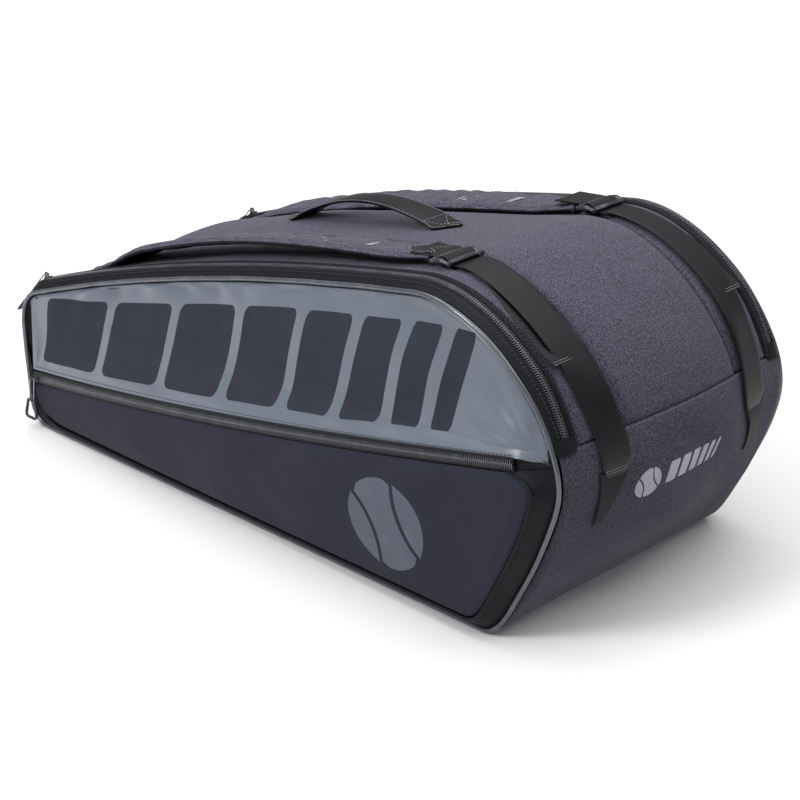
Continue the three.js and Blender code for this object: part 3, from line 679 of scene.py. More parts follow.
@dataclass
class Sheet:
    """A sewn piece of fabric: a grid of outer points with its thickness."""

    name: str
    grid: Array
    thickness: float
    finish: str
    back: Optional[str] = None

    def raise_by(self, height: Array) -> "Sheet":
        """Lifts the outer face by a height in mm at each point."""
        self.grid = self.grid + normals_of(self.grid) * height[..., None]
        return self

    def rounded(self, width: float = 2.5, ends: bool = True, sides: bool = True) -> "Sheet":
        """Rolls the edges over by half the thickness."""
        gap = edge_gap(self.grid, ends, sides)
        return self.raise_by(-0.55 * self.thickness * roll(gap, width))

    @staticmethod
    def read(values: Array, i: Array, j: Array) -> Array:
        """Values of a grid read between its rows and columns."""
        n, m = values.shape[:2]
        i, j = np.clip(i, 0, n - 1), np.clip(j, 0, m - 1)
        i0, j0 = np.minimum(i.astype(int), n - 2), np.minimum(j.astype(int), m - 2)
        a, b = (i - i0)[..., None], (j - j0)[..., None]
        return (values[i0, j0] * (1 - a) * (1 - b) + values[i0 + 1, j0] * a * (1 - b)
                + values[i0, j0 + 1] * (1 - a) * b + values[i0 + 1, j0 + 1] * a * b)

    def at(self, u: Array, v: Array, lift: float = 0.0) -> Array:
        """Points on the outer face at grid shares u and v, lifted off it."""
        n, m = self.grid.shape[:2]
        return self.read(self.grid + normals_of(self.grid) * lift, u * (n - 1), v * (m - 1))

    def find(self, p: Array, q: Array, axes: tuple[int, int] = (0, 2)) -> tuple[Array, Array]:
        """Grid shares of the places on the outer face that have two given coordinates.

        Args:
            p: first coordinate, in mm.
            q: second coordinate, in mm.
            axes: which coordinates they are.

        Returns:
            The shares u and v.
        """
        p, q = np.broadcast_arrays(np.asarray(p, float), np.asarray(q, float))
        flat = self.grid[..., list(axes)]
        n, m = flat.shape[:2]
        gap = (flat[None, ..., 0] - p.reshape(-1, 1, 1))**2 + (flat[None, ..., 1] - q.reshape(-1, 1, 1))**2
        i, j = np.divmod(gap.reshape(p.size, -1).argmin(axis=1), m)
        i, j = i.reshape(p.shape).astype(float), j.reshape(p.shape).astype(float)
        by_row, by_column = np.gradient(flat, axis=0), np.gradient(flat, axis=1)
        for _ in range(6):
            miss = np.stack([p, q], axis=-1) - self.read(flat, i, j)
            a, b = self.read(by_row, i, j), self.read(by_column, i, j)
            area = a[..., 0] * b[..., 1] - a[..., 1] * b[..., 0]
            area = np.where(np.abs(area) < 1e-6, 1e-6, area)
            step_i = (miss[..., 0] * b[..., 1] - miss[..., 1] * b[..., 0]) / area
            step_j = (a[..., 0] * miss[..., 1] - a[..., 1] * miss[..., 0]) / area
            i = np.clip(i + np.clip(step_i, -2, 2), 0, n - 1)
            j = np.clip(j + np.clip(step_j, -2, 2), 0, m - 1)
        return i / (n - 1), j / (m - 1)

    def shares(self, x: float, z: float, y: Optional[float] = None) -> tuple[float, float]:
        """Grid shares of the outer point nearest to a place."""
        gap = np.hypot(self.grid[..., 0] - x, self.grid[..., 2] - z)
        if y is not None:
            gap = np.hypot(gap, self.grid[..., 1] - y)
        i, j = np.unravel_index(np.argmin(gap), gap.shape)
        return i / (gap.shape[0] - 1), j / (gap.shape[1] - 1)

    def build(self) -> bpy.types.Object:
        """Makes the closed sheet: outer face, inner face and the rim between them."""
        n, m = self.grid.shape[:2]
        normal = normals_of(self.grid)
        verts = np.concatenate([self.grid.reshape(-1, 3),
                                (self.grid - normal * self.thickness).reshape(-1, 3)])
        k = np.arange(n * m).reshape(n, m)
        quads = quads_of(k)
        cross = np.cross(np.gradient(self.grid, axis=0), np.gradient(self.grid, axis=1))
        if (cross * normal).sum() < 0:
            quads = quads[:, ::-1]
        ring = np.concatenate([k[:-1, 0], k[-1, :-1], k[:0:-1, -1], k[0, :0:-1]])
        after = np.roll(ring, -1)
        rim = np.stack([ring, after, after + n * m, ring + n * m], axis=1)
        if (cross * normal).sum() > 0:
            rim = rim[:, ::-1]
        faces = np.concatenate([quads, quads[:, ::-1] + n * m, rim])
        flat = np.stack([run_of(self.grid, 0), run_of(self.grid, 1)], axis=-1).reshape(-1, 2) * MM
        picks = np.zeros(len(faces), int)
        names = [self.finish]
        if self.back:
            names.append(self.back)
            picks[len(quads):2 * len(quads)] = 1
        return make_piece(self.name, verts, faces, names, np.concatenate([flat, flat]), picks)


def repeat(shape: Array, faces: Sequence[Sequence[int]], spots: Array, tangent: Array, across: Array,
           normal: Array) -> tuple[Array, list[list[int]]]:
    """Sets one small shape at many places.

    Args:
        shape: its points along the tangent, across and normal.
        faces: its faces.
        spots: the places.
        tangent: direction of travel at each place.
        across: direction across at each place.
        normal: direction outwards at each place.

    Returns:
        All points and all faces.
    """
    frames = np.stack([tangent, across, normal], axis=1)
    verts = spots[:, None, :] + np.einsum("kc,mcd->mkd", shape, frames)
    count = len(shape)
    return verts.reshape(-1, 3), [[i + m * count for i in f] for m in range(len(spots)) for f in faces]


def ring_faces(rings: int, sides: int, closed: bool = False) -> list[list[int]]:
    """Faces of a tube of rings, with end caps unless it is closed on itself."""
    faces = []
    for r in range(rings if closed else rings - 1):
        a, b = r * sides, ((r + 1) % rings) * sides
        faces += [[a + s, a + (s + 1) % sides, b + (s + 1) % sides, b + s] for s in range(sides)]
    if not closed:
        faces += [list(range(sides))[::-1], [(rings - 1) * sides + s for s in range(sides)]]
    return faces


def tube(path: Array, radius: float | Array, sides: int = 10, closed: bool = False,
         flat: float = 1.0) -> tuple[Array, list[list[int]]]:
    """A round or flattened cord along a path.

    Args:
        path: its centre line.
        radius: its radius, or one for each point.
        sides: how many faces go round it.
        closed: whether it ends where it starts.
        flat: height over width of its section.

    Returns:
        Points and faces.
    """
    way = (np.roll(path, -1, axis=0) - np.roll(path, 1, axis=0)) if closed else np.gradient(path, axis=0)
    way = unit(way)
    first = np.cross(way[0], [0.0, 1.0, 0.0])
    first = first if np.linalg.norm(first) > 0.1 else np.cross(way[0], [0.0, 0.0, 1.0])
    frames = [unit(first)]
    for t in way[1:]:
        frames.append(unit(frames[-1] - t * (frames[-1] @ t)))
    side = np.array(frames)
    other = np.cross(way, side)
    angle = 2 * math.pi * np.arange(sides) / sides
    r = np.broadcast_to(radius, len(path))[:, None, None]
    verts = (path[:, None] + side[:, None] * r * flat * np.cos(angle)[None, :, None]
             + other[:, None] * r * np.sin(angle)[None, :, None])
    return verts.reshape(-1, 3), ring_faces(len(path), sides, closed)


def rounded_block(size: Sequence[float], bevel: float, segments: int = 3) -> tuple[Array, list[list[int]]]:
    """A block with rounded edges, centred, as points and faces."""
    bm = bmesh.new()
    bmesh.ops.create_cube(bm, size=1.0)
    bmesh.ops.scale(bm, vec=size, verts=bm.verts)
    bmesh.ops.bevel(bm, geom=list(bm.edges), offset=bevel, segments=segments, profile=0.5,
                    affect="EDGES", clamp_overlap=True)
    bm.verts.index_update()
    verts = np.array([v.co[:] for v in bm.verts])
    faces = [[v.index for v in f.verts] for f in bm.faces]
    bm.free()
    return verts, faces


@dataclass
class Fitting:
    """Small solids gathered into one piece."""

    verts: list[Array] = field(default_factory=list)
    faces: list[list[int]] = field(default_factory=list)
    count: int = 0

    def take(self, made: tuple[Array, list[list[int]]], move: Optional[Callable[[Array], Array]] = None
             ) -> "Fitting":
        """Adds one solid, moved if asked.

        Args:
            made: its points and faces.
            move: what places it.

        Returns:
            This fitting.
        """
        verts, faces = made
        verts = move(verts) if move else verts
        self.verts.append(verts)
        self.faces += [[i + self.count for i in f] for f in faces]
        self.count += len(verts)
        return self

    def build(self, name: str, finish: str, crisp: float = 50.0) -> bpy.types.Object:
        """Makes the piece."""
        return make_piece(name, np.concatenate(self.verts), self.faces, [finish], crisp=crisp)


def stitches(name: str, rows_of: Sequence[tuple[Array, Array]], finish: str = "black_thread",
             pitch: float = 4.4, length: float = 3.0, radius: float = 0.38) -> bpy.types.Object:
    """Rows of lock stitches.

    Args:
        name: the piece's name.
        rows_of: for each row, the points of its line and the normals there.
        finish: the thread.
        pitch: distance from stitch to stitch, in mm.
        length: length of a stitch.
        radius: half the thickness of the thread.

    Returns:
        The piece.
    """
    sides, parts = 5, Fitting()
    angle = 2 * math.pi * np.arange(sides) / sides
    rings = [(-0.5, 0.35, -0.5), (-0.3, 1.0, 0.35), (0.3, 1.0, 0.35), (0.5, 0.35, -0.5)]
    shape = np.array([[s * length, r * radius * math.cos(a), (lift + r * math.sin(a)) * radius]
                      for s, r, lift in rings for a in angle])
    faces = ring_faces(len(rings), sides)
    for line, normal in rows_of:
        run, spots = along(line, pitch, pitch / 2)
        at, n = at_run(run, line, spots), unit(at_run(run, normal, spots))
        way = unit(at_run(run, np.gradient(line, axis=0), spots))
        n = unit(n - way * (n * way).sum(axis=1, keepdims=True))
        parts.take(repeat(shape, faces, at, way, np.cross(n, way), n))
    return parts.build(name, finish)


def on_sheet(sheet: Sheet, u: Array, v: Array, lift: float = 0.15) -> tuple[Array, Array]:
    """A line on a sheet for stitches: its points and normals."""
    u, v = np.broadcast_arrays(np.asarray(u, float), np.asarray(v, float))
    base, up = sheet.at(u, v, 0.0), sheet.at(u, v, 1.0)
    return base + unit(up - base) * lift, unit(up - base)


def patch(sheet: Sheet, name: str, corners: Sequence[tuple[float, float]], finish: str,
          corner: float = 0.12, lift: float = 0.25, n: int = 14, m: int = 14,
          axes: Optional[tuple[int, int]] = None,
          inner: Optional[Callable[[Array, Array], tuple[Array, Array]]] = None) -> Sheet:
    """A printed or welded patch that follows a sheet.

    Args:
        sheet: what it lies on.
        name: the patch's name.
        corners: lower left, lower right, upper left and upper right, in grid shares, or in mm
            where axes are given.
        finish: its finish.
        corner: how much of each side its round corners take.
        lift: how far its face stands over the sheet.
        n: grid lines along it.
        m: grid lines across it.
        axes: which two coordinates the corners are.
        inner: another way from the unit square to the unit square, for shapes with curved sides.

    Returns:
        The patch as a sheet.
    """
    a, b = np.meshgrid(rows(n, 0.04), rows(m, 0.04), indexing="ij")
    if inner:
        a, b = inner(a, b)
    elif corner:
        near = np.minimum(b, 1 - b)
        cut = corner * roll(near, corner)
        a = cut + a * (1 - 2 * cut)
    c = np.array(corners, float)
    uv = (c[0] * ((1 - a) * (1 - b))[..., None] + c[1] * (a * (1 - b))[..., None]
          + c[2] * ((1 - a) * b)[..., None] + c[3] * (a * b)[..., None])
    u, v = sheet.find(uv[..., 0], uv[..., 1], axes) if axes else (uv[..., 0], uv[..., 1])
    return Sheet(name, sheet.at(u, v, lift), lift * 0.9, finish)


# ---------------------------------------------------------------- the shell
@dataclass
class Shell:
    """The padded body: top gusset, end panels, floor and the divider between the compartments."""

    seam_pull: float = 2.6
    seam_width: float = 6.0
    fabric: float = 2.4
    half: float = 156.8

    def panel(self, name: str, t: Array, y: Array, seed: int, swell: float, pulls: tuple[bool, bool]
              ) -> Sheet:
        """A panel of the gusset, padded between its seams.

        Args:
            name: the CAD node that it stands for.
            t: shares of the outline along it.
            y: depths across it.
            seed: which swell its padding has.
            swell: height of the swell, in mm.
            pulls: whether its ends and its sides are pulled in by a seam.

        Returns:
            The sheet.
        """
        grid = FORM.gusset(t[:, None], y[None, :])
        sheet = Sheet(f"{name}_fabric", grid, self.fabric, "melange_polyester", "lining_polyester")
        ends = edge_gap(grid, True, False)
        sides = edge_gap(grid, False, True)
        pull = pulls[0] * 0.35 * np.exp(-(ends / 3.5)**2) + pulls[1] * np.exp(-(sides / self.seam_width)**2)
        calm = np.minimum(ends, sides)
        wave = ripple(grid[..., 0], grid[..., 1] + grid[..., 2], 130, seed)
        fine = ripple(grid[..., 0] + grid[..., 2], grid[..., 1], 46, seed + 50)
        height = ((swell * wave + 0.22 * swell * fine) * ramp(calm, 0, 40)
                  - self.seam_pull * np.minimum(pull, 1))
        return sheet.raise_by(height).rounded(1.2)

    def build(self) -> None:
        """Makes and dresses every panel with its seams."""
        f = FORM
        top = f.spread(f.narrow_seam, f.wide_seam)(rows(210))
        gusset = self.panel("top_gusset", top, mix(-f.crease + 0.2, f.crease - 0.2, rows(50)), 3, 0.7,
                            (True, True))
        narrow = self.panel("narrow_end_panel", f.spread(0.0004, f.narrow_seam - 0.0001)(rows(50)),
                            mix(-self.half, self.half, rows(90)), 5, 0.9, (True, False))
        wide = self.panel("wide_end_panel", f.spread(f.wide_seam + 0.0001, f.floor_end - 0.0004)(rows(90)),
                          mix(-self.half, self.half, rows(110)), 8, 1.1, (True, False))
        for sheet in (gusset, narrow, wide):
            piece = dress(sheet.build(), BODY, [sheet.name.removesuffix("_fabric")])
        line = on_sheet(wide, 0.022, np.linspace(0.01, 0.99, 160))
        dress(stitches("wide_seam_stitches", [line], "pale_thread", 3.6, 2.0, 0.25), BODY)
        edge_rows = [on_sheet(gusset, np.linspace(0.01, 0.985, 420), v) for v in (0.05, 0.95)]
        dress(stitches("crease_stitches", edge_rows), BODY)
        self.seam_tapes()
        self.floor()
        self.divider()
        self.silver_mark(wide)
        LOG.info("shell built")

    def seam_tapes(self) -> None:
        """The bound allowances behind the two seams across the gusset."""
        y = mix(-self.half + 1, self.half - 1, rows(60))
        for word, seam in (("narrow", FORM.narrow_seam), ("wide", FORM.wide_seam)):
            t = np.linspace(seam - 0.006, seam + 0.006, 13)
            grid = FORM.gusset(t[:, None], y[None, :], -self.fabric - 0.8)
            dress(Sheet(f"{word}_seam_tape", grid, 0.8, "smooth_nylon").build(), BODY)

    def floor(self) -> None:
        """The flat bottom panel, with the board inside it kept from the frame."""
        low, high = (np.array(c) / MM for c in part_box("bottom_panel"))
        x, y = mix(low[0], high[0], rows(60)), mix(low[1], high[1], rows(40))
        grid = points(x[:, None], y[None, :], 0.3 + 0.25 * ripple(x[:, None], y[None, :], 120, 12)
                      * ramp(high[1] - np.abs(y[None, :]), 0, 30))
        grid[..., 2] = np.maximum(grid[..., 2], 0.05)
        sheet = Sheet("bottom_panel_fabric", grid, 2.0, "smooth_nylon", "lining_polyester")
        dress(sheet.build(), BODY, ["bottom_panel"])
        board = bpy.data.objects["base_board"]
        board.data.materials.clear()
        board.data.materials.append(FINISHES["polyethylene_board"])

    def divider(self) -> None:
        """The thin sheet of lining that parts the two compartments."""
        t = np.linspace(0, 1, 221)[:-1]
        ring = FORM.outline(t, 12.0)
        ring[:, 1] = np.maximum(ring[:, 1], 7.0)
        middle = ring.mean(axis=0)
        share = rows(16, 0.03)[::-1]
        loop = np.concatenate([ring, ring[:1]])
        xz = middle + (loop - middle)[:, None] * (1 - 0.985 * share[None, :, None] ** 1.4)
        sway = 2.4 * ripple(xz[..., 0], xz[..., 1], 190, 21) * ramp(share, 0, 0.3)[None, :]
        grid = points(xz[..., 0], sway, xz[..., 1])
        half = Fitting()
        n, m = grid.shape[:2]
        k = np.arange(n * m).reshape(n, m)
        quads = quads_of(k)
        thick = np.array([0.0, 0.7, 0.0])
        half.take((grid.reshape(-1, 3) + thick, quads[:, ::-1].tolist()))
        half.take((grid.reshape(-1, 3) - thick, quads.tolist()))
        rim = np.stack([k[:-1, -1], k[1:, -1], k[1:, -1] + n * m, k[:-1, -1] + n * m], axis=1)
        cap = [list(k[:-1, 0]), list((k[:-1, 0] + n * m)[::-1])]
        half.faces += rim.tolist()
        half.faces += [[int(i) for i in c] for c in cap]
        piece = half.build("compartment_divider_lining", "lining_polyester")
        bm = bmesh.new()
        bm.from_mesh(piece.data)
        bmesh.ops.remove_doubles(bm, verts=bm.verts, dist=1e-6)
        bmesh.ops.recalc_face_normals(bm, faces=bm.faces)
        bm.to_mesh(piece.data)
        bm.free()
        dress(piece, BODY, ["compartment_divider"])

    def silver_mark(self, wide: Sheet) -> None:
        """A small printed ball with a row of plain bars on the wide end."""
        ball(wide, "wide_end_ball_print", (-58.0, 146.0), (15.0, 15.0), "silver_ink", BODY,
             axes=(1, 2))
        across = -36.0
        for k, width in enumerate((14.0, 12.0, 10.0, 8.0, 6.0, 4.0)):
            corners = [(across, 138.0), (across + width, 138.0),
                       (across + 5, 158.0), (across + width + 5, 158.0)]
            made = patch(wide, f"wide_end_bar_print_{k}", corners, "silver_ink", n=5, m=5, axes=(1, 2))
            dress(made.build(), BODY)
            across += width + 4.0


def ball(sheet: Sheet, name: str, centre: tuple[float, float], radius: tuple[float, float], finish: str,
         body: str, axes: tuple[int, int] = (0, 2)) -> None:
    """A printed ball: a middle field between two curved seams, and two side fields.

    Args:
        sheet: what it is printed on.
        name: start of the pieces' names.
        centre: its middle, in mm.
        radius: its half sizes, in mm.
        finish: the ink.
        body: what it rides on.
        axes: which two coordinates the middle is given in.
    """
    turn = math.radians(24)

    def field_of(side: int) -> Callable[[Array, Array], tuple[Array, Array]]:
        """The way from a unit square to one field of the ball."""
        def place(a: Array, b: Array) -> tuple[Array, Array]:
            """Turns shares of the field into shares of the ball's square."""
            h = (b * 2 - 1) * (0.999 if side == 0 else 0.80)
            rim = np.sqrt(np.maximum(1 - h**2, 0.0))
            seam = np.minimum(0.40 + 0.30 * h**2, rim + 0.05)
            if side == 0:
                left, right = -np.maximum(seam - 0.05, 0.02), np.maximum(seam - 0.05, 0.02)
            else:
                left, right = side * np.minimum(seam + 0.05, rim - 0.01), side * rim
            w = mix(left, right, a)
            return ((w * math.cos(turn) - h * math.sin(turn) + 1) / 2,
                    (w * math.sin(turn) + h * math.cos(turn) + 1) / 2)
        return place

    (x, z), (rx, rz) = centre, radius
    corners = [(x - rx, z - rz), (x + rx, z - rz), (x - rx, z + rz), (x + rx, z + rz)]
    for side, word in ((0, "middle"), (-1, "left"), (1, "right")):
        made = patch(sheet, f"{name}_{word}", corners, finish, inner=field_of(side), axes=axes)
        dress(made.build(), body)


# ---------------------------------------------------------------- zips
@dataclass
class Zip:
    """A coil zip: two woven tapes, each with a row of nylon coil turns that mesh with the other's."""

    name: str
    line: Callable[[Array, Array, Array], Array]
    bodies: tuple[str, str]
    nodes: tuple[str, str]
    length_shares: tuple[float, float] = (0.004, 0.996)
    pitch: float = 2.3
    tape: float = 6.4
    words: tuple[str, str] = ("inner", "outer")

    def build(self) -> None:
        """Makes both halves; half 0 lies at negative across, half 1 at positive."""
        s = np.linspace(*self.length_shares, 400)
        zero = np.zeros_like(s)
        path = self.line(s, zero, zero)
        across = unit(self.line(s, zero + 1, zero) - self.line(s, zero - 1, zero))
        out = unit(self.line(s, zero, zero + 1) - path)
        run, _ = along(path, self.pitch)
        sides = 6
        angle = 2 * math.pi * np.arange(sides) / sides
        for half, sign in enumerate((-1, 1)):
            v = np.array([0.35, 0.8, 1.6, 3.0, 4.6, 5.8, self.tape]) * sign
            grid = self.line(s[::3, None], v[None, :] + 0 * s[::3, None],
                             0.15 + 0 * v[None, :] + 0 * s[::3, None])
            tape = Sheet(f"{self.name}_{self.words[half]}_tape", grid, 0.7, "zip_tape")
            dress(tape.build(), self.bodies[half], [self.nodes[half]])
            rings = [(4.3, 0.36, 0.40), (3.9, 0.62, 0.75), (2.0, 0.66, 1.0), (0.2, 0.68, 1.1),
                     (-0.85, 0.62, 0.9), (-1.2, 0.30, 0.45)]
            shape = np.array([[t * math.cos(a), sign * y, 0.95 + h * math.sin(a)]
                              for y, t, h in rings for a in angle])
            spots = np.arange(1 + half * self.pitch / 2, run[-1] - 1, self.pitch)
            at, a, n = (at_run(run, w, spots) for w in (path, across, out))
            a, n = unit(a), unit(n)
            way = np.cross(a, n)
            faces = ring_faces(len(rings), sides)
            made = repeat(shape, faces, at, way, a, n)
            coil = Fitting().take(made).build(f"{self.name}_{self.words[half]}_coil", "nylon_coil")
            dress(coil, self.bodies[half])
        LOG.info("%s built", self.name)


@dataclass
class Slider:
    """A zip slider with its crown, its wire bail and what hangs from the bail."""

    side: int
    side_name: str

    def frame_of(self, node: str) -> tuple[Array, Array]:
        """Lowest and highest corner of a frame solid, in mm."""
        low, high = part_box(node)
        return np.array(low) / MM, np.array(high) / MM

    def body(self, name: str, at: Array, way: Array, across: Array, out: Array, crown_along: bool) -> None:
        """The slider's two plates and its arched crown.

        Args:
            name: the frame solid that it stands for, which is also its body's name.
            at: the place under its middle.
            way: along the chain.
            across: across the chain.
            out: away from the bag.
            crown_along: whether the eye is seen from the side of the chain.
        """
        def place(verts: Array) -> Array:
            """Moves points from the slider's own axes to the bag."""
            return at + verts[:, :1] * way + verts[:, 1:2] * across + verts[:, 2:] * out

        parts = Fitting()
        n = 36
        angle = 2 * math.pi * np.arange(n) / n
        rings = []
        for z, grow in ((0.0, 0.86), (0.25, 1.0), (1.2, 1.0), (1.7, 0.93), (1.8, 0.78)):
            x = 1.6 + 4.9 * grow * np.sign(np.cos(angle)) * np.abs(np.cos(angle))**0.75
            y = 5.0 * grow * np.sin(angle) * (0.86 + 0.14 * np.cos(angle) * -1)
            rings.append(np.stack([x, y, np.full(n, z)], axis=1))
        parts.take((np.concatenate(rings), ring_faces(len(rings), n)), place)
        s = np.linspace(0, 1, 17)
        arch = np.stack([-2.7 + 5.4 * s, 0 * s, 1.2 + 5.0 * np.sin(math.pi * np.clip(s, 0, 1))**0.42], axis=1)
        if crown_along:
            arch = arch[:, [1, 0, 2]]
        parts.take(tube(arch, 0.95, 10, flat=1.0), place)
        piece = parts.build(f"{name}_detail", "black_plated_zinc", 40)
        dress(piece, name, [name])

    def bail(self, name: str, eye: Array, wide: Array, down: Array, length: float) -> bpy.types.Object:
        """The bent wire that hangs through the eye.

        Args:
            name: the frame solid that it stands for.
            eye: the middle of the eye.
            wide: direction across the loop.
            down: direction in which it hangs.
            length: from the eye to its lower end.

        Returns:
            The piece.
        """
        half, r = 3.6, 1.5
        turn = np.linspace(0, math.pi / 2, 6)
        left = np.stack([-half + r - r * np.cos(turn), r - r * np.sin(turn)], axis=1)
        top = np.concatenate([np.array([[-half, length]]), np.array([[-half, length * 0.5]]), left])
        both = np.concatenate([top, (top * np.array([-1, 1]))[::-1]])
        low = np.array([[half - 0.6, length + 1.2], [0.0, length + 1.5], [-half + 0.6, length + 1.2]])
        loop = np.concatenate([both, low])
        path = eye + loop[:, :1] * wide + loop[:, 1:] * down
        verts, faces = tube(path, 0.72, 8, closed=True)
        return dress(make_piece(f"{name}_wire", verts, faces, ["plated_wire"]), None, [name])


@dataclass
class MainZip(Slider):
    """The racket compartment's zip, from the narrow corner over the top to the wide end."""

    bail_length: float = 42.0
    tab_length: float = 30.0

    def line(self, s: Array, across: Array, out: Array) -> Array:
        """Points of the chain at shares s, moved across and outwards."""
        f = FORM
        t = f.spread(f.narrow_seam, f.wide_seam)(mix(0.005, 0.995, s))
        p = f.gusset(t, f.zip_line + np.asarray(across), 0.0 + np.asarray(out))
        p[..., 1] *= self.side
        return p

    def build(self) -> None:
        """Makes the chain, the slider at its narrow end, and the bail and tab that hang over the corner."""
        side, name = self.side, self.side_name
        zip_ = Zip(f"{name}_main_zip", self.line, (BODY, f"{name}_side_flap"),
                   (f"{name}_main_zip_inner_half", f"{name}_main_zip_outer_half"))
        zip_.build()
        low, high = self.frame_of(f"{name}_main_slider")
        t = FORM.near(-341, 162, 0, 0.5)
        base = FORM.gusset(np.array(t), np.array(FORM.zip_line + 0.05))
        way = unit(FORM.edge(np.array(t + 0.003), 0, 0) - FORM.edge(np.array(t - 0.003), 0, 0))
        out = np.array([-way[2], 0.0, way[0]])
        base = base * np.array([1, side, 1]) + out * 1.9
        across = np.array([0.0, 1.0, 0.0])
        self.body(f"{name}_main_slider", base, way, across, out, False)
        eye = base + out * 4.7
        hang = unit(np.array([-0.69, 0.0, -0.724]))
        wire = self.bail(f"{name}_main_bail", eye, across, hang, self.bail_length)
        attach(wire, f"{name}_main_puller")
        block, faces = rounded_block((self.tab_length, 10.5, 2.2), 0.8)
        grips = Fitting().take((block, faces))
        for k in range(5):
            grips.take(rounded_block((1.2, 8.0, 2.5), 0.4, 2),
                       lambda v, k=k: v + np.array([4.0 + k * 2.3, 0, 0]))
        grips.take(rounded_block((5.0, 8.6, 2.7), 0.9), lambda v: v + np.array([-11.6, 0, 0]))
        depth = np.cross(hang, across)
        middle = eye + hang * (self.bail_length + 0.4 + self.tab_length / 2)
        grips.verts = [middle + v[:, :1] * hang + v[:, 1:2] * across + v[:, 2:] * depth for v in grips.verts]
        tab = dress(grips.build(f"{name}_main_tab_rubber", "moulded_rubber", 40),
                    f"{name}_main_puller", [f"{name}_main_tab"])
        for piece in (wire, tab):
            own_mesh(piece)


@dataclass
class PocketZip(Slider):
    """The side pocket's zip, one long shallow arc, with a wire bail and an open ring."""

    bail_length: float = 24.0

    def line(self, s: Array, across: Array, out: Array) -> Array:
        """Points of the chain at shares s, moved across and outwards."""
        p = FORM.pocket_zip(mix(0.003, 0.997, s), across, out)
        p = np.array(p)
        p[..., 1] *= self.side
        return p

    def build(self) -> None:
        """Makes the chain, its slider at the narrow end, the bail and the ring."""
        side, name, f = self.side, self.side_name, FORM
        Zip(f"{name}_pocket_zip", self.line, (f"{name}_pocket_flap", BODY),
            (f"{name}_pocket_zip_lower_half", f"{name}_pocket_zip_upper_half"),
            words=("lower", "upper")).build()
        at = np.array(f.pocket_zip(np.array(0.016), 0.0, 2.5))
        way = unit(f.zip_way * np.array([1, 0, 1]))
        mirror = np.array([1, side, 1])
        out = np.array([0.0, float(side), 0.0])
        self.body(f"{name}_pocket_slider", at * mirror, way, f.zip_up, out, True)
        eye = at * mirror + out * 4.7
        down = unit(np.array([-0.09, side * 0.02, -1.0]))
        wire = self.bail(f"{name}_pocket_bail", eye, way, down, self.bail_length)
        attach(wire, f"{name}_pocket_puller")
        turn = np.linspace(0, math.pi / 2, 5)
        right = [(5.6, 0.3), (8.6, -16.0)]
        corner = [(8.6 - 3.6 * (1 - math.cos(a)), -17.0 - 3.6 * math.sin(a)) for a in turn]
        half = np.array(right + corner)
        ring = np.concatenate([half, (half * np.array([-1, 1]))[::-1]])
        ring = np.concatenate([ring, ring[:1]])
        run = travel(ring)
        dense = at_run(run, ring, np.linspace(0, run[-1], 60)[:-1])
        top = eye + down * (self.bail_length + 1.7) + np.array([-0.8, 0.0, 0.0])
        path = top + dense[:, :1] * np.array([1.0, 0, 0.0]) - dense[:, 1:] * down
        verts, faces = tube(path, 1.75, 10, closed=True, flat=0.85)
        ring_piece = make_piece(f"{name}_pocket_puller_ring", verts, faces, ["moulded_acetal"])
        dress(ring_piece, f"{name}_pocket_puller", [f"{name}_pocket_puller"])


